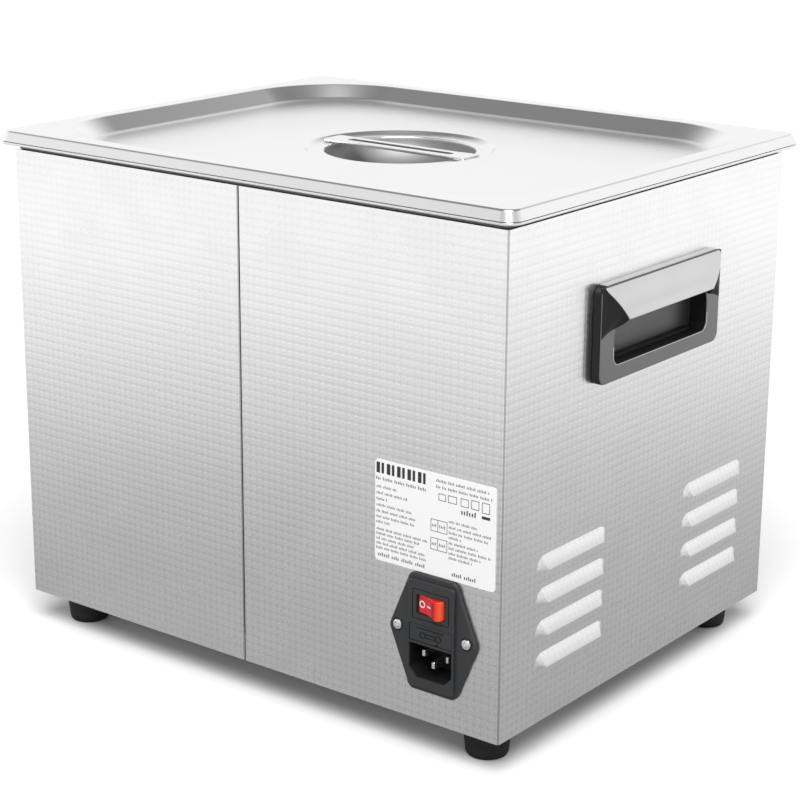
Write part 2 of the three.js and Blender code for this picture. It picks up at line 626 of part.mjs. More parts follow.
for (const [name, side] of [["left", 1], ["right", -1]]) {
  const x = INLET.x + side * INLET.screwX;
  const shank = alongY(disc(1.4, x, INLET_Z), CASING.halfY - 8, PLATE_Y + 0.5, 6);
  const head = alongY(disc(2.6, x, INLET_Z), PLATE_Y + 0.1, PLATE_Y + 1.5, 8);
  place(`inlet_screw_${name}`, join(shank, head), SCREW_STEEL);
}

// ---------------------------------------------------------------- rating label
function ratingLabel() {
  const film = roundedRect(LABEL.width / 2, LABEL.height / 2, LABEL.corner, LABEL.x, LABEL_Z);
  const sticker = alongY(film, FACE_Y, FACE_Y + LABEL.sheet, 3);
  return cut(sticker, alongY(hexPlate(GAP), FACE_Y - 1, FACE_Y + 2));
}

place("rating_label", ratingLabel(), LABEL_FILM);

// ---------------------------------------------------------------- control panel
const PANEL_BACK = -CASING.halfY - 0.1;
const PANEL_FRONT = PANEL_BACK - PANEL.sheet;
const BOARD_Y = -CASING.halfY + 12;
const BUTTONS = [
  "time_up_button", "temperature_up_button", "heat_button",
  "time_down_button", "temperature_down_button", "start_button",
];

function buttonCentre(index) {
  const [column, row] = [index % 3, Math.floor(index / 3)];
  return [BUTTON.firstX + column * BUTTON.pitchX, PANEL_Z + (0.5 - row) * BUTTON.pitchZ];
}

function buttonShape(index, grow, radius) {
  const [x, z] = buttonCentre(index);
  return roundedRect(BUTTON.width / 2 + grow, BUTTON.height / 2 + grow, radius, x, z);
}

function displayShape(grow) {
  return roundedRect(DISPLAY.width / 2 + grow, DISPLAY.height / 2 + grow, 2, DISPLAY.x, PANEL_Z);
}

function controlFascia() {
  const plate = roundedRect(PANEL.width / 2, PANEL.height / 2, PANEL.corner, 0, PANEL_Z);
  let fascia = alongY(plate, PANEL_FRONT, PANEL_BACK);
  fascia = cut(fascia, alongY(displayShape(GAP), PANEL_FRONT - 1, PANEL_BACK + 1, 3));
  BUTTONS.forEach((name, index) => {
    fascia = cut(fascia, alongY(buttonShape(index, GAP, 3), PANEL_FRONT - 1, PANEL_BACK + 1, 2));
  });
  return fascia;
}

function button(index) {
  const [x, z] = buttonCentre(index);
  const cap = alongY(buttonShape(index, 0, 2.8), PANEL_FRONT - BUTTON.proud, PANEL_BACK + 1, 2);
  const collar = alongY(buttonShape(index, 1.5, 2.8), PANEL_BACK + GAP, PANEL_BACK + 2, 1);
  const plunger = alongY(disc(2, x, z), PANEL_BACK + 1.5, BOARD_Y - 5.5, 4);
  return join(cap, collar, plunger);
}

place("control_fascia", controlFascia(), PANEL_FILM);
const LENS_FRONT = PANEL_FRONT + 0.3;
place("display_lens", alongY(displayShape(0), LENS_FRONT, LENS_FRONT + DISPLAY.sheet, 3), LENS);
BUTTONS.forEach((name, index) => place(name, button(index), KEY_PLASTIC));

function controlBoard() {
  let board = block(-94, 94, BOARD_Y, BOARD_Y + 1.6, PANEL_Z - 27, PANEL_Z + 27);
  const [left, right] = [DISPLAY.x - 42, DISPLAY.x + 42];
  const module = block(left, right, BOARD_Y - 8, BOARD_Y + 0.5, PANEL_Z - 14, PANEL_Z + 14);
  board = join(board, module);
  BUTTONS.forEach((name, index) => {
    const [x, z] = buttonCentre(index);
    board = join(board, block(x - 3, x + 3, BOARD_Y - 4, BOARD_Y + 0.5, z - 3, z + 3));
  });
  for (const [sx, sz] of Object.values(FOOT_PLACES)) {
    board = join(board, alongY(disc(3, sx * 90, PANEL_Z + sz * 23), PANEL_BACK + GAP, BOARD_Y + 0.5, 4));
  }
  return board;
}

place("control_board", controlBoard(), BOARD);

// ---------------------------------------------------------------- drain pipe and ball valve
function drainPipe() {
  const ring = disc(DRAIN.outer);
  ring.holes.push(new THREE.Path().absarc(0, 0, DRAIN.inner, 0, 2 * Math.PI));
  const path = new THREE.CurvePath();
  const elbow = VALVE_Z + DRAIN.bend;
  const points = [0, 1, 2, 3, 4, 5, 6].map((step) => {
    const angle = step * Math.PI / 12;
    return new THREE.Vector3(DRAIN.x + DRAIN.bend * (1 - Math.cos(angle)), 0,
      elbow - DRAIN.bend * Math.sin(angle));
  });
  const route = [
    new THREE.Vector3(DRAIN.x, 0, TANK_UNDER - GAP), ...points,
    new THREE.Vector3(CASING.halfX - 9.5, 0, VALVE_Z),
  ];
  for (let i = 1; i < route.length; i += 1) {
    path.add(new THREE.LineCurve3(route[i - 1], route[i]));
  }
  const tube = new THREE.ExtrudeGeometry(ring, {
    steps: 14, extrudePath: path, bevelEnabled: false, curveSegments: 5,
  });
  return solidOf(tube);
}

place("drain_pipe", drainPipe(), SCREW_STEEL);

const TAIL_X = CASING.halfX - 9;

function valveBody() {
  const { bore, seat, ballX, outlet, stem } = VALVE;
  const outer = turnedX([
    [0, TAIL_X], [9, TAIL_X], [9, CASING.halfX - 6], [10.7, CASING.halfX - 6], [10.7, CASING.halfX + 1],
    [15, CASING.halfX + 1], [15, CASING.halfX + 5], [11, CASING.halfX + 6], [13, ballX - 8],
    [13, ballX + 8], [11, ballX + 10], [8, ballX + 12], [8.8, ballX + 16], [7.6, ballX + 16.4],
    [8.6, ballX + 20], [7.4, ballX + 20.4], [8, outlet], [0, outlet],
  ], 0, VALVE_Z);
  const boss = turned([[0, VALVE_Z], [6.5, VALVE_Z], [6.5, VALVE_Z + 16], [0, VALVE_Z + 16]], ballX, 0, 12);
  const way = alongX(disc(bore, 0, VALVE_Z), TAIL_X - 1, outlet + 1, 5);
  const chamber = solidOf(new THREE.SphereGeometry(seat, 12, 8).translate(ballX, 0, VALVE_Z));
  const neck = alongZ(disc(stem + GAP, ballX, 0), VALVE_Z, VALVE_Z + 20, 6);
  return cut(join(outer, boss), way, chamber, neck);
}

// Closed at rest: the ball's own way lies across the pipe.
function valveBall() {
  const { bore, ball, ballX, stem } = VALVE;
  const sphere = solidOf(new THREE.SphereGeometry(ball, 12, 8).translate(ballX, 0, VALVE_Z));
  const spindle = alongZ(disc(stem, ballX, 0), VALVE_Z + ball - 1.5, VALVE_Z + 26, 6);
  return join(cut(sphere, alongY(disc(bore - 0.5, ballX, VALVE_Z), -20, 20, 6)), spindle);
}

const LEVER = { z: VALVE_Z + 17, sheet: 3, length: 44, nut: 5 };

function valveLever() {
  const { ballX, stem } = VALVE;
  const arm = new THREE.Shape();
  arm.absarc(ballX, 0, 8, 0, Math.PI);
  arm.lineTo(ballX - 6.5, -LEVER.length + 6);
  arm.absarc(ballX, -LEVER.length + 6, 6.5, Math.PI, 2 * Math.PI);
  const hub = alongZ(disc(stem + GAP, ballX, 0), LEVER.z - 1, LEVER.z + LEVER.sheet + 1, 6);
  return cut(alongZ(arm, LEVER.z, LEVER.z + LEVER.sheet, 6), hub);
}

function leverNut() {
  const z = LEVER.z + LEVER.sheet + 0.2;
  const hub = alongZ(disc(VALVE.stem + GAP, VALVE.ballX, 0), z - 1, z + 6, 6);
  return cut(alongZ(hexagon(LEVER.nut + 1, VALVE.ballX, 0), z, z + 3.6), hub);
}

function drainLocknut() {
  const nut = alongX(hexagon(16, 0, VALVE_Z), CASING.halfX - 5.5, CASING.halfX - CASING.sheet - 0.2);
  return cut(nut, alongX(disc(10.7 + GAP, 0, VALVE_Z), CASING.halfX - 9, CASING.halfX, 8));
}

place("valve_body", valveBody(), BRASS);
place("valve_ball", valveBall(), SCREW_STEEL);
place("valve_lever", valveLever(), RED_PLASTIC);
place("lever_nut", leverNut(), SCREW_STEEL);
place("drain_locknut", drainLocknut(), BRASS);

// ---------------------------------------------------------------- sandwich transducers under the tank
function transducer(x, y) {
  const { hornTop, radius, horn, stack, mass, bolt } = TRANSDUCER;
  const top = TANK_UNDER - GAP;
  const hornLow = top - horn;
  const stackTop = hornLow - 0.2;
  const massTop = stackTop - stack - 0.2;
  const boltHole = bolt + GAP;
  return {
    horn: turned([
      [0, top], [hornTop, top], [hornTop, top - 4], [radius, top - 16], [radius, hornLow],
      [boltHole, hornLow], [boltHole, hornLow + 10], [0, hornLow + 10],
    ], x, y, 12),
    stack: turned([
      [boltHole, stackTop], [radius, stackTop], [radius, stackTop - 5.8], [radius + 1.2, stackTop - 5.8],
      [radius + 1.2, stackTop - 6.2], [radius, stackTop - 6.2], [radius, stackTop - stack],
      [boltHole, stackTop - stack], [boltHole, stackTop],
    ], x, y, 12),
    back_mass: turned([
      [0, hornLow + 9], [bolt, hornLow + 9], [bolt, massTop], [radius, massTop], [radius, massTop - mass],
      [8, massTop - mass], [8, massTop - mass - 4], [0, massTop - mass - 4],
    ], x, y, 12),
  };
}

const PIECE_FINISH = { horn: ALUMINIUM, stack: CERAMIC, back_mass: SCREW_STEEL };
for (const [name, [sx, sy]] of Object.entries(FOOT_PLACES)) {
  const pieces = transducer(sx * TRANSDUCER.x, sy * TRANSDUCER.y);
  for (const [piece, solid] of Object.entries(pieces)) {
    place(`transducer_${name}_${piece}`, solid, PIECE_FINISH[piece]);
  }
}

// ---------------------------------------------------------------- heater, generator, fan
const PAD_Y = TANK.halfY + TANK.sheet + 0.2;
place("heater_pad", alongY(roundedRect(100, 35, 6, 0, TANK_FLOOR + 60), PAD_Y, PAD_Y + 1.6), SILICONE);

function generatorBoard() {
  const { sheet, halfX, y0, y1 } = GENERATOR;
  const top = BOARD_Z + sheet;
  let board = block(-halfX, halfX, y0, y1, BOARD_Z, top);
  const mount = (solid) => {
    board = join(board, solid);
  };
  mount(block(-20, 16, -60, -24, top - 0.5, top + 20));
  mount(block(-26, 22, -50, -34, top - 0.5, top + 14));
  mount(block(30, 58, -64, -44, top - 0.5, top + 12));
  for (const x of [-54, -38]) {
    mount(alongZ(disc(6.3, x, -58), top - 0.5, top + 22, 5));
    mount(alongZ(disc(5, x, -38), top - 0.5, top + 12, 5));
  }
  mount(block(-58, -34, -20, -8, top - 0.5, top + 8));
  mount(block(34, 58, -30, -12, top - 0.5, top + 10));
  return board;
}

function heatSink() {
  const z = BOARD_Z + GENERATOR.sheet + 0.2;
  let sink = block(-44, 44, 6, 66, z, z + 4);
  for (let fin = 0; fin < 9; fin += 1) {
    const x = -44 + fin * 10.6;
    sink = join(sink, block(x, x + 3, 6, 66, z + 3, z + 24));
  }
  return sink;
}

place("generator_board", generatorBoard(), BOARD);
place("heat_sink", heatSink(), ALUMINIUM);

const FAN_Z = TRAY_TOP + GAP + FAN.size / 2;

function fanFrame() {
  const half = FAN.size / 2;
  const [y0, y1] = [FAN.y - FAN.depth / 2, FAN.y + FAN.depth / 2];
  let frame = alongY(roundedRect(half, half, 4, 0, FAN_Z), y0, y1, 3);
  frame = cut(frame, alongY(disc(half - 2, 0, FAN_Z), y0 - 1, y1 + 1, 10));
  frame = join(frame, alongY(disc(FAN.hub, 0, FAN_Z), y1 - 2, y1, 8));
  for (const turn of [0, 1, 2]) {
    const spoke = new THREE.BoxGeometry(half, 2, 3).translate(half / 2, 0, 0);
    spoke.rotateY(Math.PI / 6 + turn * 2 * Math.PI / 3).translate(0, y1 - 1, FAN_Z);
    frame = join(frame, solidOf(spoke));
  }
  return frame;
}

function fanRotor() {
  const y0 = FAN.y - FAN.depth / 2 + 1;
  let rotor = alongY(disc(FAN.hub, 0, FAN_Z), y0, y0 + FAN.depth - 4, 10);
  for (let blade = 0; blade < FAN.blades; blade += 1) {
    const vane = new THREE.BoxGeometry(FAN.size / 2 - FAN.hub - 2.5, 1.2, 9);
    vane.rotateX(0.7).translate((FAN.size / 2 + FAN.hub - 3.5) / 2, 0, 0);
    vane.rotateY(blade * 2 * Math.PI / FAN.blades).translate(0, y0 + 5.5, FAN_Z);
    rotor = join(rotor, solidOf(vane));
  }
  return rotor;
}

place("fan_frame", fanFrame(), BLACK_PLASTIC);
place("fan_rotor", fanRotor(), BLACK_PLASTIC);

cleaner.position.x = -SHIFT_X;

export default cleaner;
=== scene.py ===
"""Looks of the bench-top ultrasonic cleaner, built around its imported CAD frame.

Lengths are in millimetres from the middle of the casing. mesh_object turns them into metres in the frame of
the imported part, whose X origin is SHIFT_X further along +X. The back with the mains inlet faces +Y.
"""
import json
import math

import bmesh
import bpy
from mathutils import Matrix, Vector


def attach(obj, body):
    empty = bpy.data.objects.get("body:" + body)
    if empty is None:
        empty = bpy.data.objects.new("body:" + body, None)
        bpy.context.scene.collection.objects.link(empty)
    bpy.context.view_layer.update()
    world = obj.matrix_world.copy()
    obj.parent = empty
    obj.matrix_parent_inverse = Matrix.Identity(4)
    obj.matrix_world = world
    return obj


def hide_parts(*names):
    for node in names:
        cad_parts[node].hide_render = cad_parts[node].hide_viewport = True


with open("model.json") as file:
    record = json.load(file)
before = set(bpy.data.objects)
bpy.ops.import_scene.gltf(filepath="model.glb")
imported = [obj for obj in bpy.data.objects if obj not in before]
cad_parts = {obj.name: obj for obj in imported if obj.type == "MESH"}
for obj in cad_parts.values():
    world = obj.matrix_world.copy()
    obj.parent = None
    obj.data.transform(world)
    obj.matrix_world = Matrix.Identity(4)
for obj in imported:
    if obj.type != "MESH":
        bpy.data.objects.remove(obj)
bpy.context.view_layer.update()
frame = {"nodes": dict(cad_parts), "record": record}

MM = 0.001
SHIFT_X = 16.0
BASE_Z, CASING_TOP = 17.5, 262.5
HALF_X, HALF_Y, SHEET, BEND, SEAM_X = 156.5, 124.5, 1.0, 1.5, 1.4
TANK_HOLE = (149.4, 119.4, 37.9)
RIM_BOTTOM, RIM_TOP = 265.7, 267.1
LID_TOP, LID_FLOOR = 272.5, 264.5
TANK_FLOOR = 117.1
LOUVRE_LONG, LOUVRE_HIGH, LOUVRE_END, LOUVRE_BULGE, LOUVRE_SHEET = 60.0, 7.0, 6.0, 2.9, 0.8
LOUVRE_Y, LOUVRE_Z, LOUVRE_PITCH = 66, 28.7, 16.4
HANDLE_Z = 200.5
INLET_X, INLET_Z, EAR_X = -118.9, 64.5, 20.1
LABEL_X, LABEL_Z, LABEL_WIDE, LABEL_HIGH = -118.1, 118.3, 35, 25.2
FACE_Y, PLATE_Y, FRONT_Y = 124.6, 126.6, 128.1
SOCKET_Z, DRAWER_Z, SWITCH_Z = 49.4, 63.6, 78.2
PANEL_Z, PANEL_BACK, PANEL_FRONT = 65.5, -124.6, -126.6
DISPLAY_X, DIGIT_HIGH = -52, 17
VALVE_X, VALVE_Z, OUTLET_X = 174.0, 50.0, 199.1
FOOT_INSET = 21
SKY_FAR, SKY_NEAR, SKY_TOP = 1.0, 0.7, 0.2
# The floor's colour, and the colour of the painted shade that only reflected rays meet on it.
FLOOR_SHADE, FLOOR_MIRRORED = 0.93, 0.27
KEY_FROM, KEY_SPREAD, KEY_STRENGTH = (-0.40, 0.51, 1.0), 40, 2.95
FEET = {"front_left": (-1, -1), "front_right": (1, -1), "back_left": (-1, 1), "back_right": (1, 1)}
BUTTONS = ["time_up", "temperature_up", "heat", "time_down", "temperature_down", "start"]


# ---- shader expressions
class Value:
    """A number from a shader node, so that patterns can be written as ordinary arithmetic."""

    def __init__(self, tree, socket):
        self.tree, self.socket = tree, socket

    def math(self, operation, *others):
        node = self.tree.nodes.new("ShaderNodeMath")
        node.operation = operation
        for entry, value in zip(node.inputs, (self, *others)):
            if isinstance(value, Value):
                self.tree.links.new(value.socket, entry)
            else:
                entry.default_value = value
        return Value(self.tree, node.outputs[0])

    def __add__(self, other):
        return self.math("ADD", other)

    def __sub__(self, other):
        return self.math("SUBTRACT", other)

    def __mul__(self, other):
        return self.math("MULTIPLY", other)

    def near(self, low, high, start=1.0, end=0.0):
        """Goes smoothly from start, below low, to end, above high."""
        node = self.tree.nodes.new("ShaderNodeMapRange")
        node.interpolation_type = "SMOOTHSTEP"
        self.tree.links.new(self.socket, node.inputs[0])
        for entry, value in zip(list(node.inputs)[1:5], (low, high, start, end)):
            entry.default_value = value
        return Value(self.tree, node.outputs[0])


class Finish:
    """A material with a Principled shader, and short ways to add procedural detail to it."""

    def __init__(self, name, color, roughness, metallic=0.0, **sockets):
        self.material = bpy.data.materials.new(name)
        self.material.use_nodes = True
        self.tree = self.material.node_tree
        self.shader = self.tree.nodes["Principled BSDF"]
        self.color = (*color, 1.0)
        self.roughness = roughness
        sockets.update(Base_Color=self.color, Roughness=roughness, Metallic=metallic)
        for key, value in sockets.items():
            self.shader.inputs[key.replace("_", " ")].default_value = value
        self.places = self.node("TexCoord").outputs["Object"]

    def node(self, kind, **inputs):
        node = self.tree.nodes.new("ShaderNode" + kind)
        for key, value in inputs.items():
            node.inputs[key].default_value = value
        return node

    def link(self, output, entry):
        self.tree.links.new(output, entry)

    def axes(self, vector=None):
        split = self.node("SeparateXYZ")
        self.link(vector or self.places, split.inputs[0])
        return [Value(self.tree, out) for out in split.outputs]

    def noise(self, scale, detail, stretch=(1, 1, 1)):
        mapping = self.node("Mapping", Scale=stretch)
        self.link(self.places, mapping.inputs[0])
        node = self.node("TexNoise", Scale=scale, Detail=detail)
        self.link(mapping.outputs[0], node.inputs["Vector"])
        return Value(self.tree, node.outputs["Fac"])

    def bump(self, height, distance, strength=1.0):
        node = self.node("Bump", Distance=distance, Strength=strength)
        self.link(height.socket, node.inputs["Height"])
        previous = self.shader.inputs["Normal"]
        if previous.links:
            self.link(previous.links[0].from_socket, node.inputs["Normal"])
        self.link(node.outputs[0], previous)

    def rough(self, value):
        self.link(value.socket, self.shader.inputs["Roughness"])

    def uneven(self, noise, amount):
        self.rough(noise.near(0.3, 0.7, self.roughness - amount, self.roughness + amount))

    def tint(self, factor, color):
        """Mixes the colour so far with another one by a factor."""
        node = self.node("Mix")
        node.data_type = "RGBA"
        target = self.shader.inputs["Base Color"]
        if target.links:
            self.link(target.links[0].from_socket, node.inputs[6])
        else:
            node.inputs[6].default_value = self.color
        node.inputs[7].default_value = (*color, 1.0)
        self.link(factor.socket, node.inputs[0])
        self.link(node.outputs[2], target)

    def speckle(self, scale, amount, depth, shade=0.25):
        """Fine grain: a small bump, and slightly uneven roughness and colour."""
        self.bump(self.noise(scale, 3), depth)
        self.uneven(self.noise(40, 2), amount)
        self.tint(self.noise(18, 3).near(0.35, 0.7, 0, shade), tuple(c * 0.85 for c in self.color[:3]))
        return self

    def brushed(self, stretch, depth=2e-5, amount=0.07):
        self.bump(self.noise(700, 2, stretch), depth, 0.35)
        self.uneven(self.noise(300, 3, stretch), amount)
        self.tint(self.noise(9, 3).near(0.35, 0.75, 0, 0.2), tuple(c * 0.93 for c in self.color[:3]))
        return self


def embossed_steel(name, shade):
    """Sheet rolled with a square lattice of small discs, with a dimple where four discs meet.

    Shade is painted on: darker gaps and centres in the pattern, fainter higher up where the walls are
    brighter lit, and darker bends.
    """
    finish = Finish(name, (0.96, 0.96, 0.96), 0.27, 1.0)
    x, y, z = finish.axes()
    nx = finish.axes(finish.node("NewGeometry").outputs["True Normal"])[0].math("ABSOLUTE")
    facing = nx.near(0.70, 0.72, 0, 1)
    across = x + facing * (y - x)
    pitch = 1 / 0.00406
    cell = [(value * pitch).math("FRACT") - 0.5 for value in (across, z)]
    radius = (cell[0].math("POWER", 2) + cell[1].math("POWER", 2)).math("SQRT")
    disc = radius.near(0.27, 0.43)
    hollow = radius.near(0.05, 0.24, 0.45, 0)
    corner = radius.near(0.50, 0.66, 0, 0.8)
    finish.bump(disc - hollow - corner, 5e-5, 0.5)
    # Painted shade in the gaps between the discs and in their centres, fading out towards the brighter-lit
    # top.
    painted_shade_fade = z.near(0.10, 0.25, 1, 0.4)
    finish.tint(radius.near(0.34, 0.60, 0, shade) * painted_shade_fade, (0.70, 0.70, 0.70))
    finish.tint(radius.near(0.06, 0.24, shade * 0.7, 0) * painted_shade_fade, (0.75, 0.75, 0.75))
    # Painted shade: a dark line down the rounded bends, standing in for their shading.
    finish.tint(nx.near(0.40, 0.50, 0, 1) * nx.near(0.85, 0.95), (0.52, 0.52, 0.52))
    finish.rough(finish.noise(30, 3).near(0.3, 0.7, 0.24, 0.29))
    return finish.material


def satin(name, shade, roughness=0.25):
    """Stainless with a fine sideways grain."""
    return Finish(name, (shade, shade, shade), roughness, 1.0).brushed((1, 14, 1), 6e-6, 0.03)


def lid_steel():
    """Satin sheet, with a rougher bowl whose darker grey is painted shade, in place of the dark that real
    steel would mirror there.
    """
    finish = satin("lid_steel", 0.94)
    x, y, z = finish.axes()
    x = x + SHIFT_X * MM
    radius = (x * x + y * y).math("SQRT")
    bowl = z.near((LID_FLOOR - 2.6) * MM, (LID_FLOOR - 1.9) * MM) * radius.near(0.0393, 0.0398)
    # Painted shade: the bowl is tinted dark grey.
    finish.tint(bowl, (0.34, 0.34, 0.34))
    finish.rough(bowl * 0.3 + 0.25)
    return finish.material


def red_plastic():
    """Translucent switch red, with painted light: warmer towards the end, standing in for light coming
    through the thin wall.
    """
    finish = Finish("red_plastic", (0.72, 0.012, 0.016), 0.22, 0.0, Coat_Weight=0.3, Coat_Roughness=0.08)
    x = finish.axes()[0]
    start = (INLET_X - SHIFT_X - 3.5) * MM
    # Painted light: an orange tint towards the rocker's end.
    finish.tint((x - start).near(-0.0045, -0.0005), (0.93, 0.10, 0.03))
    finish.bump(finish.noise(1500, 2), 1e-5)
    return finish.material


FINISH = {
    "embossed_steel": embossed_steel("embossed_steel", 0.45),
    "louvre_steel": embossed_steel("louvre_steel", 0.22),
    "polished_steel": satin("polished_steel", 0.94).material,
    "lid_steel": lid_steel(),
    "shadow_steel": satin("shadow_steel", 0.04, 0.5).material,
    "bright_steel": Finish("bright_steel", (0.93, 0.93, 0.94), 0.3, 1.0).brushed((1, 1, 8)).material,
    "aluminium": Finish("aluminium", (0.70, 0.71, 0.73), 0.4, 1.0).brushed((1, 1, 20)).material,
    "red_plastic": red_plastic(),
}
# Colour, roughness, metallic, then the speckle: scale, unevenness, depth and, if not 0.25, shade.
GRAINED = {
    "brass": ((0.74, 0.60, 0.33), 0.3, 1.0, (700, 0.06, 3e-5)),
    "black_plastic": ((0.030, 0.031, 0.033), 0.42, 0.0, (1400, 0.05, 3e-5)),
    "satin_grey": ((0.21, 0.21, 0.215), 0.33, 0.85, (1600, 0.04, 1e-5)),
    # The pocket's grey is the face's grey made darker: painted shade inside the pocket.
    "pocket_painted_shade_grey": ((0.14, 0.14, 0.145), 0.36, 0.8, (1600, 0.04, 1e-5)),
    "print_grey": ((0.09, 0.09, 0.092), 0.5, 0.0, (2000, 0.05, 1e-5)),
    "satin_trim": ((0.71, 0.71, 0.72), 0.34, 0.9, (1200, 0.04, 1e-5)),
    "seal_rubber": ((0.15, 0.15, 0.15), 0.6, 0.0, (900, 0.08, 3e-5)),
    "rubber": ((0.017, 0.017, 0.018), 0.72, 0.0, (900, 0.08, 6e-5)),
    "lever_red": ((0.62, 0.02, 0.018), 0.35, 0.0, (1100, 0.05, 4e-5)),
    "label_film": ((0.97, 0.97, 0.965), 0.42, 0.0, (1500, 0.05, 1e-5, 0.1)),
    "print": ((0.03, 0.03, 0.032), 0.5, 0.0, (2000, 0.05, 1e-5)),
    "print_white": ((0.88, 0.89, 0.9), 0.45, 0.0, (2000, 0.05, 1e-5)),
    "panel_film": ((0.045, 0.075, 0.13), 0.38, 0.0, (2400, 0.05, 3e-5)),
    "panel_border": ((0.55, 0.58, 0.61), 0.4, 0.0, (2400, 0.05, 3e-5)),
    "digit_red": ((0.30, 0.02, 0.02), 0.3, 0.0, (1500, 0.05, 1e-5)),
    "key_plastic": ((0.66, 0.68, 0.70), 0.4, 0.0, (1600, 0.05, 3e-5)),
    "circuit_board": ((0.03, 0.15, 0.07), 0.45, 0.0, (500, 0.1, 6e-5, 0.6)),
    "piezo_ceramic": ((0.62, 0.58, 0.48), 0.5, 0.0, (900, 0.06, 3e-5)),
    "heater_silicone": ((0.5, 0.16, 0.06), 0.6, 0.0, (400, 0.08, 1e-4)),
    "matt_black": ((0.009, 0.009, 0.010), 0.5, 0.0, (1400, 0.05, 3e-5), ("Specular_IOR_Level", 0.3)),
    "display_lens": ((0.035, 0.006, 0.008), 0.12, 0.0, (1500, 0.03, 5e-6), ("Coat_Weight", 0.5)),
    "fuse_glass": ((0.85, 0.9, 0.9), 0.08, 0.0, (900, 0.03, 1e-5), ("Transmission_Weight", 0.8)),
}
for finish_name, (color, rough, metal, grain, *sockets) in GRAINED.items():
    FINISH[finish_name] = Finish(finish_name, color, rough, metal, **dict(sockets)).speckle(*grain).material


# ---- mesh helpers
def new_object(name, data):
    obj = bpy.data.objects.new(name, data)
    bpy.context.scene.collection.objects.link(obj)
    return obj


def mesh_object(points, faces):
    mesh = bpy.data.meshes.new("piece")
    mesh.from_pydata([((x - SHIFT_X) * MM, y * MM, z * MM) for x, y, z in points], [], faces)
    return new_object("piece", mesh)


def outward(obj):
    work = bmesh.new()
    work.from_mesh(obj.data)
    bmesh.ops.recalc_face_normals(work, faces=work.faces)
    work.to_mesh(obj.data)
    work.free()
    return obj


def modified(obj, kind, **values):
    """Adds a modifier with these values and applies it."""
    modifier = obj.modifiers.new("step", kind)
    for key, value in values.items():
        setattr(modifier, key, value)
    graph = bpy.context.evaluated_depsgraph_get()
    mesh = bpy.data.meshes.new_from_object(obj.evaluated_get(graph))
    obj.modifiers.clear()
    old = obj.data
    obj.data = mesh
    bpy.data.meshes.remove(old)
    return obj


def combine(obj, operation, *tools):
    for tool in tools:
        modified(obj, "BOOLEAN", operation=operation, solver="EXACT", object=tool)
        bpy.data.objects.remove(tool)
    return obj


def cut(obj, *tools):
    return combine(obj, "DIFFERENCE", *tools)


def join(obj, *tools):
    return combine(obj, "UNION", *tools)


def gather(objects):
    """One object of several separate solids."""
    work = bmesh.new()
    for obj in objects:
        work.from_mesh(obj.data)
    mesh = bpy.data.meshes.new("group")
    work.to_mesh(mesh)
    work.free()
    for obj in objects:
        bpy.data.objects.remove(obj)
    return new_object("group", mesh)


def soften(obj, width, segments=3, angle=28):
    return modified(obj, "BEVEL", width=width * MM, segments=segments, limit_method="ANGLE",
                    angle_limit=math.radians(angle))


def thicken(obj, thickness):
    return modified(obj, "SOLIDIFY", thickness=thickness * MM, offset=-1, use_even_offset=True)


def dress(obj, name, finish, body="chassis", replaces=(), crease=32):
    """Names a piece, gives it its finish and smooth shading, and hands it to its body."""
    obj.name = name
    obj.data.name = name
    obj.data.materials.clear()
    obj.data.materials.append(FINISH[finish])
    shade(obj, crease)
    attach(obj, body)
    if replaces:
        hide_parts(*replaces)
    return obj


def shade(obj, crease):
    for polygon in obj.data.polygons:
        polygon.use_smooth = True
    obj.data.set_sharp_from_angle(angle=math.radians(crease))
    modified(obj, "WEIGHTED_NORMAL", keep_sharp=True, weight=90)


# ---- outlines and solids
def arc(x, y, radius, start, end, steps=8):
    """Points from start to end degrees, both included."""
    angles = [math.radians(start + (end - start) * step / steps) for step in range(steps + 1)]
    return [(x + radius * math.cos(angle), y + radius * math.sin(angle)) for angle in angles]


def circle(radius, x=0, y=0, steps=32):
    return arc(x, y, radius, 0, 360, steps)[:-1]


def rounded(half_x, half_y, radius, x=0, y=0, steps=6):
    dx, dy = half_x - radius, half_y - radius
    return [point for sx, sy, start in ((1, 1, 0), (-1, 1, 90), (-1, -1, 180), (1, -1, 270))
            for point in arc(x + sx * dx, y + sy * dy, radius, start, start + 90, steps)]


def rounded_polygon(corners, radius, steps=4):
    """A polygon whose corners are cut short by radius and bridged with a smooth curve."""
    outline = []
    for index, corner in enumerate(corners):
        here = Vector(corner)
        before = (Vector(corners[index - 1]) - here).normalized() * radius
        after = (Vector(corners[(index + 1) % len(corners)]) - here).normalized() * radius
        for step in range(steps + 1):
            t = step / steps
            point = here + before * (1 - t) ** 2 + after * t ** 2
            outline.append((point.x, point.y))
    return outline


def on_axis(axis, u, v, w):
    return {"x": (w, u, v), "y": (u, w, v), "z": (u, v, w)}[axis]


def prism(outline, axis, low, high):
    """A solid with this outline across the axis, from low to high along it."""
    count = len(outline)
    points = [on_axis(axis, u, v, w) for w in (low, high) for u, v in outline]
    faces = [list(range(count)), list(range(count, 2 * count))]
    faces += [[i, (i + 1) % count, count + (i + 1) % count, count + i] for i in range(count)]
    return outward(mesh_object(points, faces))


def on_panel(outline, low, high):
    """A solid across the control panel, from low to high behind the panel's front."""
    return prism(outline, "y", PANEL_FRONT + low, PANEL_FRONT + high)


def on_inlet(outline, low, high):
    """A solid across the inlet, from low to high in front of its raised face."""
    return prism(outline, "y", FRONT_Y + low, FRONT_Y + high)


def box(x0, x1, y0, y1, z0, z1):
    return prism([(x0, y0), (x1, y0), (x1, y1), (x0, y1)], "z", z0, z1)


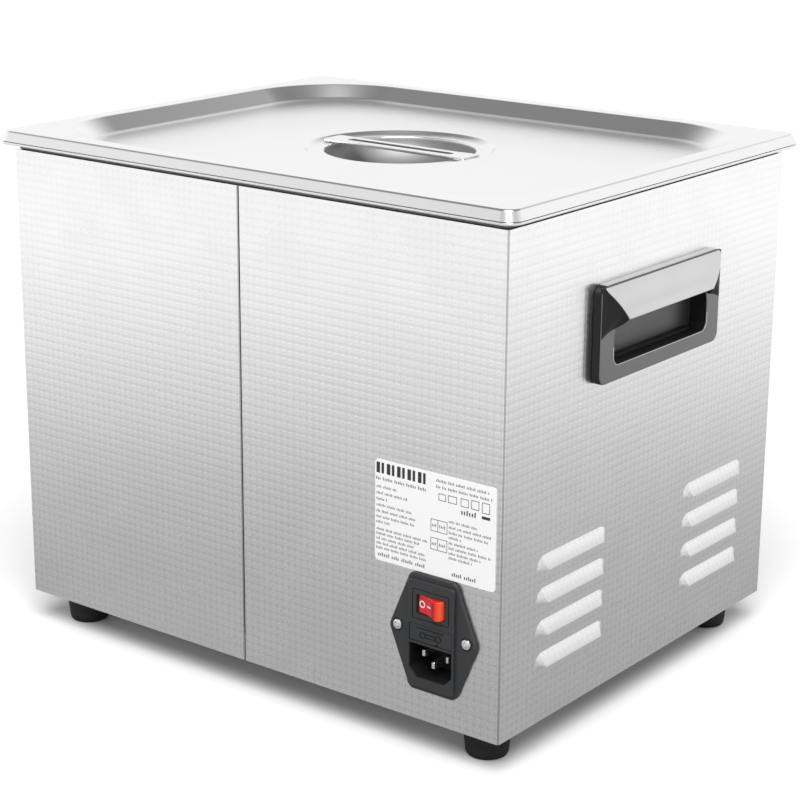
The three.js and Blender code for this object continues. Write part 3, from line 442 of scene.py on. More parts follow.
def skin(rows, closed_rows=True, caps=(None, None), loop=False):
    """A mesh over rows of points of equal length. Each cap is a point to fan to, "flat" or None."""
    count = len(rows[0])
    points = [point for row in rows for point in row]
    faces = []
    total = len(rows)
    for low in range(total if loop else total - 1):
        high = (low + 1) % total
        for i in range(count if closed_rows else count - 1):
            j = (i + 1) % count
            faces.append([low * count + i, low * count + j, high * count + j, high * count + i])
    for cap, start in zip(caps, (0, (total - 1) * count)):
        if cap == "flat":
            faces.append(list(range(start, start + count)))
        elif cap is not None:
            points.append(cap)
            faces += [[start + i, start + (i + 1) % count, len(points) - 1] for i in range(count)]
    return mesh_object(points, faces)


def solid(rows):
    """A closed solid over rows of points, with a flat face at each end."""
    return outward(skin(rows, caps=("flat", "flat")))


def turned(profile, x=0, y=0, axis="z", steps=40):
    """A closed solid of revolution from [radius, height] points that start and end on the axis."""
    rows = [[on_axis(axis, x + u, y + v, height) for u, v in circle(radius, steps=steps)]
            for radius, height in profile[1:-1]]
    caps = [on_axis(axis, x, y, profile[0][1]), on_axis(axis, x, y, profile[-1][1])]
    return outward(skin(rows, caps=caps))


def eased(knots, steps=4):
    """Rounds each inner knot [..., z, reach] of a path with a curve from reach before it to reach after."""
    path = [tuple(knots[0][:-1])]
    for before, here, after in zip(knots, knots[1:], knots[2:]):
        reach = here[-1]
        if not reach:
            path.append(tuple(here[:-1]))
            continue
        ends = []
        for other in (before, after):
            length = math.hypot(other[0] - here[0], other[-2] - here[-2])
            share = min(reach / length, 0.48)
            ends.append([a + (b - a) * share for a, b in zip(here[:-1], other[:-1])])
        for step in range(steps + 1):
            t = step / steps
            path.append(tuple(a * (1 - t) ** 2 + 2 * b * t * (1 - t) + c * t ** 2
                              for a, b, c in zip(ends[0], here[:-1], ends[1])))
    return path + [tuple(knots[-1][:-1])]


def level_rows(rings, steps=12):
    """Rows of points on level rounded rectangles [half_x, half_y, corner, z]."""
    return [[(x, y, z) for x, y in rounded(half_x, half_y, corner, steps=steps)]
            for half_x, half_y, corner, z in rings]


# ---- casing
def louvre_places():
    return [(y, BASE_Z + LOUVRE_Z + row * LOUVRE_PITCH) for y in (-LOUVRE_Y, LOUVRE_Y) for row in range(4)]


def louvre_outline(y0, z0):
    half, end, high = LOUVRE_LONG / 2, LOUVRE_END, LOUVRE_HIGH
    turns = [math.radians(90 * step / 10) for step in range(11)]
    right = [(half - end + end * math.cos(turn), high * math.sin(turn)) for turn in turns]
    return [(y0 + across, z0 + up) for across, up in right + [(-y, z) for y, z in right[::-1]]]


def louvre(side, y0, z0):
    """A pressed hood: flush with the sheet along its upper edge and standing out above its slit."""
    half, end = LOUVRE_LONG / 2, LOUVRE_END
    turns = [math.radians(90 * step / 12) for step in range(13)]
    near_end = [half - end + end * math.cos(turn) * 0.9995 for turn in turns]
    rows = []
    for y in [-y for y in near_end] + near_end[::-1]:
        reach = max(0.0, abs(y) - (half - end)) / end
        scale = math.sqrt(1 - reach * reach)
        section = []
        for share in (0, 0.15, 0.3, 0.45, 0.6, 0.75, 0.88, 1):
            fall = math.hypot(reach, scale * share)
            section.append((LOUVRE_BULGE * (1 - fall) * (1 - 0.2 * fall), z0 + LOUVRE_HIGH * scale * share))
        section += [(out - LOUVRE_SHEET, z) for out, z in section[::-1]]
        rows.append([(side * (HALF_X + out), y0 + y, z) for out, z in section])
    return solid(rows)


def casing():
    shell = prism(rounded(HALF_X, HALF_Y, BEND, steps=7), "z", BASE_Z, CASING_TOP)
    inside = prism(rounded(HALF_X - SHEET, HALF_Y - SHEET, 0.6), "z", BASE_Z - 1, CASING_TOP - SHEET)
    mouth = prism(rounded(*TANK_HOLE), "z", CASING_TOP - 3, CASING_TOP + 1)
    half_seam = [(0.35, HALF_Y - 12), (0.35, HALF_Y - 0.5), (0.9, HALF_Y + 0.1)]
    seam = prism([(SEAM_X + x, y) for x, y in half_seam] + [(SEAM_X - x, y) for x, y in half_seam[::-1]],
                 "z", BASE_Z - 1, CASING_TOP + 1)
    panel = box(-98, 98, -HALF_Y - 1, -HALF_Y + 3, PANEL_Z - 30, PANEL_Z + 30)
    inlet = box(INLET_X - 14.5, INLET_X + 14.5, HALF_Y - 3, HALF_Y + 1, INLET_Z - 27.8, INLET_Z + 25.2)
    drain = prism(circle(11.3, 0, VALVE_Z), "x", HALF_X - 3, HALF_X + 1)
    cut(shell, inside, mouth, seam, panel, inlet, drain)
    for side in (-1, 1):
        x = side * HALF_X
        cut(shell, box(x - 4, x + 4, -44.5, 44.5, 183, 221.3))
        slits = [prism(louvre_outline(y, z), "x", x - 3, x + 3) for y, z in louvre_places()]
        cut(shell, gather(slits))
    dress(shell, "casing_sheet", "embossed_steel", replaces=["casing_wrap"])
    hoods = [louvre(side, y, z) for side in (-1, 1) for y, z in louvre_places()]
    dress(gather(hoods), "casing_louvres", "louvre_steel", crease=24)


# ---- tank, seal, lid
def tank():
    half_x, half_y, corner, sheet, fillet = 147.5, 117.5, 36, 1.2, 14
    under = TANK_FLOOR - sheet
    rings = []

    def wall(inset, z, grow):
        rings.append((half_x - inset + grow, half_y - inset + grow, corner - inset + grow, z))

    turns = [math.radians(90 * step / 8) for step in range(9)]
    for turn in turns:
        wall(fillet * (1 - math.sin(turn)), under + (fillet + sheet) * (1 - math.cos(turn)), sheet)
    wall(0, RIM_BOTTOM - 0.6, sheet)
    wall(-0.2, RIM_BOTTOM - 0.2, sheet)
    wall(-0.8, RIM_BOTTOM, sheet)
    for inset, rise in ((0.6, 0), (0.2, 0.12), (0, 0.5), (0, 0.9), (0.2, 1.28), (0.6, 1.4)):
        rings.append((163.5 - inset, 131.5 - inset, 8 - inset, RIM_BOTTOM + rise))
    for turn in turns[::-1]:
        wall(-2.5 * (1 - math.cos(turn)), RIM_TOP - 2.5 + 2.5 * math.sin(turn), 0)
    for turn in turns[::-1]:
        wall(fillet * (1 - math.sin(turn)), TANK_FLOOR + fillet * (1 - math.cos(turn)), 0)
    pan = solid(level_rows(rings, 14))
    cut(pan, prism(circle(6, 112, 0), "z", TANK_FLOOR - 5, TANK_FLOOR + 5))
    dress(pan, "tank_pan", "polished_steel", replaces=["tank"])


def seal():
    outer = (155.6, 123.6, 4.2)
    low, high = CASING_TOP + 0.2, CASING_TOP + 2.9
    rings = [(*TANK_HOLE, low)]
    for inset, z in ((0.4, low), (0, low + 0.4), (0, high - 0.4), (0.4, high)):
        rings.append((outer[0] - inset, outer[1] - inset, outer[2] - inset, z))
    rings.append((*TANK_HOLE, high))
    ring = outward(skin(level_rows(rings, 12), loop=True))
    dress(ring, "rim_gasket", "seal_rubber", replaces=["rim_seal"])


def lid():
    def level(inset, corner, z, reach):
        return (163 - inset, 131 - inset, corner, z, reach)

    def ring(radius, z, reach):
        return (radius, radius, radius, z, reach)

    knots = [
        level(0, 8, 267.35, 0), level(1.7, 6.8, 271.9, 0.35), level(2.4, 6.3, LID_TOP, 0.35),
        level(12.5, 55, LID_TOP, 0.8), level(20.5, 47.5, LID_FLOOR + 0.8, 1.0), level(24, 44, LID_FLOOR, 1.5),
        ring(49.6, LID_FLOOR, 0.5), ring(47.6, LID_FLOOR - 1.6, 0.5), ring(39.7, LID_FLOOR - 1.6, 0.5),
        ring(39.2, LID_FLOOR - 4, 0),
    ]
    bowl = [(39.5 * math.cos(math.radians(turn)), LID_FLOOR - 1.6 - 20.4 * math.sin(math.radians(turn)))
            for turn in range(12, 90, 6)]
    rows = level_rows(eased(knots, 5) + [(radius, radius, radius, z) for radius, z in bowl], 18)
    cover = outward(skin(rows, caps=(None, (0, 0, LID_FLOOR - 22))))
    if sum(polygon.normal.z for polygon in cover.data.polygons) < 0:
        cover.data.flip_normals()
    thicken(cover, 0.9)
    dress(cover, "lid_cover", "lid_steel", "lid", replaces=["lid"], crease=40)


def strap():
    """The grip across the dish: a folded strip with a sunken groove and turned-down ends."""
    low = LID_FLOOR - 1.4
    end = [(46, 7.5), (38.5, 7.5), (34, 6.8)]
    outline = rounded_polygon(end + [(-x, y) for x, y in end[::-1]] + [(-x, -y) for x, y in end]
                              + [(x, -y) for x, y in end[::-1]], 1.6)
    levels = ((0.3, 0), (0.05, 0.15), (0, 0.4), (0, 1.1), (0.08, 1.4), (0.35, 1.5))
    rows = [[(x * (1 - inset / 46), y * (1 - inset / 6), low + rise) for x, y in outline]
            for inset, rise in levels]
    bar = solid(rows)
    slot = rounded(34, 2.3, 2.2, steps=8)
    cut(bar, prism(slot, "z", low + 0.25, low + 3))
    dress(bar, "lid_grip_strap", "polished_steel", "lid", replaces=["lid_strap"], crease=40)
    # Painted shade: a near-black sheet laid in the groove darkens it.
    rows = [[(x * k, y * k, low + z) for x, y in slot] for k, z in ((1, 0.2), (1, 0.75), (0.99, 0.85))]
    groove_shadow = solid(rows)
    dress(groove_shadow, "lid_grip_groove_shadow", "shadow_steel", "lid", crease=40)


# ---- side handles
def mouth_outline(grow=0.0):
    """The finger opening in (y, z): a straight lip, drooping shoulders and rounded lower corners."""
    lip, side, steps = HANDLE_Z + 7.0 + grow, 43 + grow, 8
    right = arc(43 - 4.5, 184.5 + 4.5, 4.5 + grow, -90, 0, steps)
    start, control, end = (side, HANDLE_Z - 5), (side, HANDLE_Z + 4), (38.5, lip)
    for step in range(1, 2 * steps + 1):
        t = step / (2 * steps)
        right.append(tuple(a * (1 - t) ** 2 + 2 * b * t * (1 - t) + c * t * t
                           for a, b, c in zip(start, control, end)))
    return right + [(-y, z) for y, z in right[::-1]]


def handle(name, side):
    """A black flange with a grey face, a shallow pocket, and a hood that leans out over the fingers."""
    def layer(outline, low, high):
        return prism(outline, "x", *sorted((side * (HALF_X + low), side * (HALF_X + high))))

    def behind(half, low, high):
        return layer(rounded(half, 9.65, 2, 0, HANDLE_Z + 9.65, 4), low, high)

    flange = soften(layer(rounded(55, 24, 5, 0, HANDLE_Z, 8), 0.1, 4.35), 0.6, 3)
    pan = box(*sorted((side * (HALF_X - 6.2), side * (HALF_X + 1.5))), -44.2, 44.2, 183.3, 221)
    join(flange, pan)
    cut(flange, join(layer(mouth_outline(), -5, 6), behind(37.5, -5, 6)))
    ledge = [(-37.5, 184.6), (37.5, 184.6), (37.5, 186.2), (-37.5, 186.2)]
    join(flange, layer(ledge, -4.9, -1.4))
    soften(flange, 0.35, 3, 40)
    dress(flange, f"handle_frame_{name}", "matt_black",
          replaces=[f"handle_body_{name}"], crease=35)
    face = cut(layer(rounded(54.8, 23.8, 4.9, 0, HANDLE_Z, 8), 4.3, 4.8), layer(mouth_outline(0.1), 3, 6))
    dress(soften(face, 0.3, 3, 40), f"handle_face_{name}", "satin_grey")
    # Painted shade: the pocket's back wall gets a darker grey than the face.
    back = join(layer(mouth_outline(-0.1), -4.95, -4.6), behind(37.3, -4.95, -4.6))
    # Painted highlight: a thin bright strip round the opening's edge, in place of the highlight its rounded
    # edge would catch.
    highlight_bead = layer(mouth_outline(0.55), 4.5, 4.95)
    cut(highlight_bead, layer(mouth_outline(0.12), 3, 6), layer(rounded(60, 12, 1, 0, HANDLE_Z + 5, 2), 3, 6))
    dress(soften(highlight_bead, 0.15, 3, 40), f"handle_highlight_bead_{name}", "satin_trim")
    dress(soften(back, 0.1, 2, 40), f"handle_back_{name}", "pocket_painted_shade_grey")
    hood(name, side)


def slope_edge(t):
    """The hood's front from its top edge, t = 0, to its lip, t = 1: how far out, half width, height."""
    return 4.9 + 5.3 * t + 1.5 * math.sin(math.pi * t), 54 - 14.8 * t, HANDLE_Z + 23.3 - 16.9 * t


def cheek_foot(t):
    """Where a cheek meets the frame: down its side, in to the opening, up the opening's shoulder."""
    knots = [(0, 5.0, 54.3, 23.2), (0.12, 5.0, 54.4, 18), (0.45, 5.0, 54.4, 3.5), (0.56, 5.0, 54.4, -0.4),
             (0.60, 5.0, 54.1, -1.0), (0.65, 5.0, 53.0, -0.2), (0.72, 5.0, 50, 0.9), (0.79, 5.0, 46.6, 1.7),
             (0.85, 5.15, 43.9, 2.2), (0.90, 6.5, 42.2, 3.0), (0.95, 8.4, 40.8, 4.5), (1, 10.1, 39.4, 6.3)]
    for low, high in zip(knots, knots[1:]):
        if t <= high[0]:
            share = (t - low[0]) / (high[0] - low[0])
            out, half, rise = (a + (b - a) * share for a, b in zip(low[1:], high[1:]))
            return out, half, HANDLE_Z + rise


def hood(name, side):
    deep, columns = 3.6, 4
    rows = []
    for step in range(26):
        t = step / 25
        (out0, half0, z0), (out1, half1, z1) = cheek_foot(t), slope_edge(t)
        arm = []
        for column in range(columns + 1):
            share = column / columns
            sag = 0.55 * math.sin(math.pi * share) * math.sin(math.pi * min(1, t * 1.1))
            arm.append((out0 + (out1 - out0) * share - sag, half0 + (half1 - half0) * share,
                        z0 + (z1 - z0) * share))
        top = arm + [(out1, half1 * share, z1) for share in (0.5, 0, -0.5)]
        top += [(out, -half, z) for out, half, z in arm[::-1]]
        under = [(deep, half, z) for out, half, z in top[::-1]]
        rows.append([(side * (HALF_X + out), half, z) for out, half, z in top + under])
    shell = solid(rows)
    lip = HANDLE_Z + 6.4
    inner = [(deep - 1, lip + 13.4), (4.1, lip + 13.4), (8.6, lip + 0.6), (8.6, lip - 8), (deep - 1, lip - 8)]
    cut(shell, prism([(side * (HALF_X + out), z) for out, z in inner], "y", -36.5, 36.5))
    soften(shell, 0.5, 3, 30)
    dress(shell, f"handle_cover_{name}", "matt_black",
          replaces=[f"handle_hood_{name}"], crease=35)
    trim(name, side)


def trim(name, side):
    """The bright strip along the top of the frame and the bright plate over the hood's slope."""
    rows, radius, length, shares = [], 2.6, 17.0, (1, 0.6, 0.2, -0.2, -0.6, -1)
    for distance in (0.1, 0.25, 0.6, 1.1, 1.8, 2.6, 4.5, 7, 9.5, 12, 14.5, 16.2, 16.9):
        out, half, z = slope_edge(distance / length)
        half -= 0.35
        if distance < radius:
            half -= radius - math.sqrt(radius ** 2 - (radius - distance) ** 2)
        raised = [(out + 0.42, half * share, z + 0.14) for share in shares]
        sunk = [(out - 0.25, half * share, z - 0.08) for share in shares[::-1]]
        rows.append([(side * (HALF_X + reach), y, level) for reach, y, level in raised + sunk])
    plate = soften(solid(rows), 0.22, 3, 50)
    strip = box(*sorted((side * (HALF_X + 0.2), side * (HALF_X + 4.5))), -50.5, 50.5,
                HANDLE_Z + 23.8, HANDLE_Z + 24.3)
    soften(strip, 0.18, 2)
    dress(gather([plate, strip]), f"handle_trim_{name}", "satin_trim", crease=40)


# ---- mains inlet
def hexagon_plate(grow, radius):
    wide, high, flat = 25.7 + grow, 29.6 + grow, 13.3 + grow
    corners = [(wide, 0), (flat, high), (-flat, high), (-wide, 0), (-flat, -high), (flat, -high)]
    return rounded_polygon([(INLET_X + across, INLET_Z - 1.3 + up) for across, up in corners], radius, 5)


def socket_outline(grow=0.0):
    wide, high, chamfer = 12.5 + grow, 8.6 + grow, 4.3
    corners = [(-wide, high), (-wide, chamfer - high), (chamfer - wide, -high), (wide - chamfer, -high),
               (wide, chamfer - high), (wide, high)]
    return [(INLET_X + across, SOCKET_Z + up) for across, up in corners]


def cut_pin_slots(obj, pins):
    for _, across, up in pins:
        x, z = INLET_X + across, SOCKET_Z + up
        cut(obj, box(x - 1.3, x + 1.3, HALF_Y - 25, FRONT_Y - 10, z - 2.3, z + 2.3))


def inlet():
    plate = soften(prism(hexagon_plate(0, 2.4), "y", FACE_Y, PLATE_Y), 0.7, 3, 40)
    raised = prism(rounded(13.6, 27.1, 2, INLET_X, INLET_Z - 1.5), "y", PLATE_Y - 1, FRONT_Y)
    soften(raised, 0.45, 3, 40)
    body = box(INLET_X - 14.2, INLET_X + 14.2, HALF_Y - 24, FACE_Y + 0.5, INLET_Z - 27.5, INLET_Z + 24.9)
    join(plate, raised, body)
    cut(plate, soften(on_inlet(socket_outline(), -16, 2), 0.4, 2, 40))
    groove = on_inlet(rounded(10.8, 7.6, 0.8, INLET_X, SWITCH_Z, 3), -0.5, 1)
    cut(groove, on_inlet(rounded(10.3, 7.1, 0.5, INLET_X, SWITCH_Z, 3), -1, 2))
    switch = on_inlet(rounded(8.3, 5.0, 0.5, INLET_X, SWITCH_Z, 3), -14, 1)
    drawer = on_inlet(rounded(12.65, 4.45, 0.4, INLET_X, DRAWER_Z, 3), -23, 1)
    sinks = [prism(circle(3.3, INLET_X + side * EAR_X, INLET_Z), "y", PLATE_Y - 0.7, PLATE_Y + 1)
             for side in (-1, 1)]
    cut(plate, groove, switch, drawer, *sinks)
    pins = [("line", -7, 2.6), ("neutral", 7, 2.6), ("earth", 0, -1.4)]
    cut_pin_slots(plate, pins)
    dress(plate, "inlet_body", "black_plastic", replaces=["inlet_housing"], crease=35)
    for pin, across, up in pins:
        front = FRONT_Y - (2.4 if pin == "earth" else 4.2)
        rows = [[(INLET_X + across + u, y, SOCKET_Z + up + v) for u, v in rounded(*half, 0.3, steps=3)]
                for y, half in ((HALF_Y - 30, (1, 2)), (front - 1.6, (1, 2)), (front - 0.3, (0.85, 1.7)),
                                (front, (0.6, 1.45)))]
        blade = solid(rows)
        dress(blade, f"inlet_pin_{pin}", "bright_steel", replaces=[f"pin_{pin}"])
    liner = on_inlet(socket_outline(-0.02), -16.02, -0.9)
    cut(liner, on_inlet(socket_outline(-0.3), -15.4, 1))
    cut_pin_slots(liner, pins)
    dress(liner, "inlet_socket_lining", "matt_black")
    for name, side in (("left", 1), ("right", -1)):
        screw(f"inlet_{name}_screw_head", INLET_X + side * EAR_X, 20 + side * 35, [f"inlet_screw_{name}"])
    rocker()
    fuse_drawer()


def screw(name, x, turn, replaces):
    """Pan-head screw in the inlet's ear, with a cross recess."""
    base = PLATE_Y - 0.6
    head = turned([(0, HALF_Y - 8), (1.2, HALF_Y - 8), (1.4, HALF_Y - 7.4), (1.4, base), (2.55, base),
                   (2.55, base + 1.1), (2.35, base + 1.5), (1.8, base + 1.75), (1.0, base + 1.85),
                   (0, base + 1.9)], x, INLET_Z, "y", 32)
    for bar in (0, 90):
        angle = math.radians(turn + bar)
        along, over = (math.cos(angle), math.sin(angle)), (-math.sin(angle), math.cos(angle))
        corners = [(1.6, 0.38), (-1.6, 0.38), (-1.6, -0.38), (1.6, -0.38)]
        outline = [(x + a * along[0] + b * over[0], INLET_Z + a * along[1] + b * over[1]) for a, b in corners]
        cut(head, prism(outline, "y", base + 0.5, base + 4))
    dress(head, name, "bright_steel", replaces=replaces, crease=35)


def rocker():
    """Red rocker on a vertical axle, pressed in on its left, with its round and bar marks."""
    section = [(-7.8, -3), (-7.8, -1.2), (-5.5, -1.05), (-3, -0.6), (-0.6, 0.2), (1.4, 1.2), (3.2, 2.4),
               (4.4, 3.2), (5.4, 3.2), (6.4, 2.8), (7.3, 1.8), (7.7, 0.4), (7.4, -4), (4, -6.5), (-4, -6)]
    outline = [(INLET_X - across, FRONT_Y + out) for across, out in section]
    key = soften(prism(outline, "z", SWITCH_Z - 4.7, SWITCH_Z + 4.7), 0.4, 3, 50)
    dress(key, "rocker_key", "red_plastic", "power_rocker", replaces=["power_rocker"], crease=30)
    ring = prism(circle(1.8, -5.5, 0, 28), "y", -0.1, 0.06)
    cut(ring, prism(circle(1.2, -5.5, 0, 24), "y", -1, 1))
    marks = gather([ring, box(-2.2, 0.7, -0.12, 0.06, -0.3, 0.3)])
    for vertex in marks.data.vertices:
        across, out, up = vertex.co.x / MM + SHIFT_X, vertex.co.y / MM, vertex.co.z / MM
        for (u0, v0), (u1, v1) in zip(section[1:], section[2:6]):
            if u0 <= across <= u1:
                out += v0 + (v1 - v0) * (across - u0) / (u1 - u0)
                break
        vertex.co = Vector(((INLET_X - across - SHIFT_X) * MM, (FRONT_Y + out) * MM, (SWITCH_Z + up) * MM))
    outward(marks)
    dress(marks, "rocker_marks", "print_white", "power_rocker")


def fuse_drawer():
    front, mark_z = FRONT_Y - 0.2, DRAWER_Z - 0.6
    face = prism(rounded(12.4, 4.2, 0.4, INLET_X, DRAWER_Z, 3), "y", FRONT_Y - 22, front)
    cut(face, box(INLET_X - 11.4, INLET_X + 11.4, FRONT_Y - 21, FRONT_Y - 3, DRAWER_Z - 3.2, DRAWER_Z + 6))
    cut(face, box(INLET_X - 4.7, INLET_X - 3.1, front - 0.8, front + 1, DRAWER_Z - 5, DRAWER_Z - 3.4))
    soften(face, 0.2, 2, 40)
    symbol = []
    for across in (-4.6, 4.6):
        ring = prism(circle(1.75, INLET_X + across, mark_z, 28), "y", front - 0.1, front + 0.22)
        hole = prism(circle(1.3, INLET_X + across, mark_z, 24), "y", front - 1, front + 1)
        symbol.append(cut(ring, hole))
    for up in (-0.85, 0.85):
        symbol.append(box(INLET_X - 3.1, INLET_X + 3.1, front - 0.1, front + 0.22,
                          mark_z + up - 0.2, mark_z + up + 0.2))
    for step in range(14):
        across = 7.8 - step * 1.15
        symbol.append(box(INLET_X + across - 0.4, INLET_X + across + 0.4, front - 0.1, front + 0.14,
                          DRAWER_Z + 2.3, DRAWER_Z + 3.0))
    dress(face, "fuse_drawer_shell", "black_plastic", "fuse_tray", replaces=["fuse_drawer"])
    dress(gather(symbol), "fuse_drawer_symbol", "matt_black", "fuse_tray")


# ---- rating label
def label():
    film = prism(rounded(LABEL_WIDE, LABEL_HIGH, 2, LABEL_X, LABEL_Z, 5), "y", FACE_Y, FACE_Y + 0.25)
    cut(film, prism(hexagon_plate(0.25, 2.4), "y", FACE_Y - 1, FACE_Y + 2))
    dress(soften(film, 0.08, 2, 40), "rating_label_film", "label_film", replaces=["rating_label"])
    bold, fine = [], []

    def mark(ink, u0, u1, v0, v1):
        """A flat bar given from the label's top left corner, as it is read."""
        x, z = LABEL_X + LABEL_WIDE - u0, LABEL_Z + LABEL_HIGH - v0
        ink.append(box(x - (u1 - u0), x, FACE_Y + 0.2, FACE_Y + 0.29, z - (v1 - v0), z))

    def words(ink, u0, u1, v, height, seed):
        """A line of unreadable marks, grouped like words."""
        u, count, left = u0, 0, 3 + seed % 5
        while u + height * 0.5 < u1:
            tall = height if (count * 7 + seed) % 3 == 0 else height * 0.72
            mark(ink, u, u + height * 0.3, v + height - tall, v + height)
            u += height * 0.62
            count, left = count + 1, left - 1
            if not left:
                u, left = u + height * 0.6, 3 + (count * 5 + seed) % 6

    def empty_box(u0, u1, v0, v1, line):
        mark(bold, u0, u1, v0, v0 + line)
        mark(bold, u0, u1, v1 - line, v1)
        mark(bold, u0, u0 + line, v0 + 0.3, v1 - 0.3)
        mark(bold, u1 - line, u1, v0 + 0.3, v1 - 0.3)

    for block in range(5):
        for left, wide in ((0.9, 2.1), (3.9, 1.5)):
            mark(bold, left + block * 6.1, left + wide + block * 6.1, 1.3, 6.6)
    lines = [(0.8, 31, 8.4, 1.6), (1, 13, 12.6), (1, 19.5, 15.8), (1, 8, 18.8), (1, 22, 21.8),
             (1, 24.7, 24.8), (1, 24, 27.6), (1, 9.5, 30.2), (1, 32, 33.8), (1, 27, 36.1), (1, 24, 38.5),
             (1, 30, 40.9), (1, 31, 43.2), (2, 30, 46.2, 1.9), (36, 66.5, 2.4, 1.4), (36, 67.8, 5.4, 1.4),
             (43.5, 60, 21), (43.5, 68, 23.8), (43.5, 66, 26.4), (43.5, 51, 28.8), (43.5, 60.5, 31.5),
             (43.5, 68, 34), (43.5, 62, 36.5), (43.5, 57.5, 38.8)]
    for index, (u0, u1, v, *height) in enumerate(lines):
        words(fine, u0, u1, v, *(height or [1.3]), index)
    words(bold, 45.5, 61.5, 46.2, 1.9, 2)
    for u0, u1, v0, v1 in ((33, 42.6, 22.4, 28.4), (33, 42.6, 31.5, 37.5)):
        empty_box(u0, u1, v0, v1, 0.28)
        mark(bold, u0 + 4, u0 + 4.28, v0 + 0.3, v1 - 0.3)
        words(fine, u0 + 0.8, u0 + 3.8, v0 + 2.2, 1.5, 1)
        words(fine, u0 + 5, u1 - 0.4, v0 + 2.2, 1.5, 3)
    for u0, u1, v0, v1 in ((37.4, 41.6, 9.2, 12.6), (42.8, 47.8, 9.0, 12.6), (50, 54.6, 8.8, 12.8),
                           (56, 60.4, 8.4, 12.8), (62, 66.4, 8.2, 13.4)):
        empty_box(u0, u1, v0, v1, 0.3)
    mark(bold, 62, 66.6, 14.8, 16.2)
    words(bold, 50.4, 60, 14.2, 2.4, 4)
    dress(gather(bold), "rating_label_print", "print")
    dress(gather(fine), "rating_label_lines", "print_grey")


# ---- feet
def feet():
    for name, (sx, sy) in FEET.items():
        x, y = sx * (HALF_X - FOOT_INSET), sy * (HALF_Y - FOOT_INSET)
        rows = [(5, 0.4), (5.4, 0), (8.8, 0), (9.9, 0.5), (10.5, 1.6), (10.7, 3.2), (10.95, 5.2), (10.8, 5.8),
                (11.1, 6.4), (11.8, 14), (12.1, 16.4), (11.9, 17.2), (11.4, 17.7), (2.4, 17.7), (2.4, 9.3),
                (4.8, 9.3), (5, 9.1)]
        rings = [[(x + u, y + v, z) for u, v in circle(radius, steps=48)] for radius, z in rows]
        foot = outward(skin(rings, loop=True))
        dress(foot, f"foot_pad_{name}", "rubber", replaces=[f"foot_{name}"], crease=40)
        head = turned([(0, 5.5), (3.0, 5.5), (4.1, 6.1), (4.5, 7), (4.5, 9), (2.1, 9), (2.1, 25), (1.2, 26.4),
                       (0, 26.5)], x, y, "z", 32)
        for long, wide in ((2.4, 0.5), (0.5, 2.4)):
            cut(head, box(x - long, x + long, y - wide, y + wide, 5, 6.6))
        dress(head, f"foot_screw_head_{name}", "bright_steel", replaces=[f"foot_screw_{name}"], crease=35)


# ---- control panel
def panel_ring(outer, inner, low, high, x=0, z=PANEL_Z, steps=8, depth=1):
    """A flat ring on the panel between two rounded rectangles [half_x, half_z, corner]."""
    ring = on_panel(rounded(*outer, x, z, steps), low, high)
    return cut(ring, on_panel(rounded(*inner, x, z, steps), -depth, 1))


def fascia():
    plate = soften(prism(rounded(108, 39, 6, 0, PANEL_Z, 8), "y", PANEL_FRONT, PANEL_BACK), 0.7, 3, 40)
    window = prism(rounded(46.3, 17.3, 2.3, DISPLAY_X, PANEL_Z, 5), "y", PANEL_FRONT - 1, PANEL_BACK + 1)
    holes = [prism(rounded(9, 6, 3, x, z, 6), "y", PANEL_FRONT - 1, PANEL_BACK + 1)
             for x, z in button_places()]
    groove = panel_ring((104, 35, 4), (103.2, 34.2, 3.4), -1, 0.25, depth=2)
    cut(plate, window, groove, *holes)
    dress(plate, "control_plate", "panel_film", replaces=["control_fascia"], crease=35)
    line = panel_ring((103.9, 34.9, 4), (103.3, 34.3, 3.4), 0.1, 0.3)
    bezel = panel_ring((47.6, 18.6, 3), (46.3, 17.3, 2.3), -0.35, 0.1, DISPLAY_X, steps=6)
    soften(bezel, 0.12, 2, 40)
    surrounds = [panel_ring((10.4, 7.4, 4), (9.8, 6.8, 3.5), -0.12, 0.1, x, z, 6)
                 for x, z in button_places()]
    dress(gather([line, bezel, *surrounds]), "control_borders", "panel_border")
    display()
    buttons()


def button_places():
    return [(20 + (index % 3) * 29, PANEL_Z + (0.5 - index // 3) * 24) for index in range(6)]


def digit(x, z, height, lit):
    """Seven bars with slanted ends; returns solids of the lit ones."""
    wide, bar = height * 0.5, height * 0.11
    half = height / 2
    spots = {"a": (0, half, 0), "g": (0, 0, 0), "d": (0, -half, 0), "f": (-wide / 2, half / 2, 1),
             "b": (wide / 2, half / 2, 1), "e": (-wide / 2, -half / 2, 1), "c": (wide / 2, -half / 2, 1)}
    solids = []
    for key, (dx, dz, upright) in spots.items():
        if key not in lit:
            continue
        reach = (half if upright else wide) / 2 - bar * 0.35
        points = [(-reach, 0), (-reach + bar / 2, bar / 2), (reach - bar / 2, bar / 2), (reach, 0),
                  (reach - bar / 2, -bar / 2), (-reach + bar / 2, -bar / 2)]
        if upright:
            points = [(v, u) for u, v in points]
        outline = [(x + dx + u + (dz + v) * 0.09, z + dz + v) for u, v in points]
        solids.append(on_panel(outline, 0.22, 0.32))
    return solids


def display():
    lens = on_panel(rounded(46, 17, 2, DISPLAY_X, PANEL_Z, 5), 0.3, 1.7)
    dress(soften(lens, 0.15, 2, 40), "display_window", "display_lens", replaces=["display_lens"])
    bars = []
    for place, shape in zip((-84, -70, -38, -24), ("abcdef", "abcdef", "abged", "abcdef")):
        bars += digit(place, PANEL_Z, DIGIT_HIGH, shape)
    for radius, x, dz in ((0.9, -61.5, -3.5), (0.9, -61.5, 3.5), (1.0, -15.5, 8)):
        bars.append(on_panel(circle(radius, x, PANEL_Z + dz, 16), 0.22, 0.32))
    dress(gather(bars), "display_digits", "digit_red")


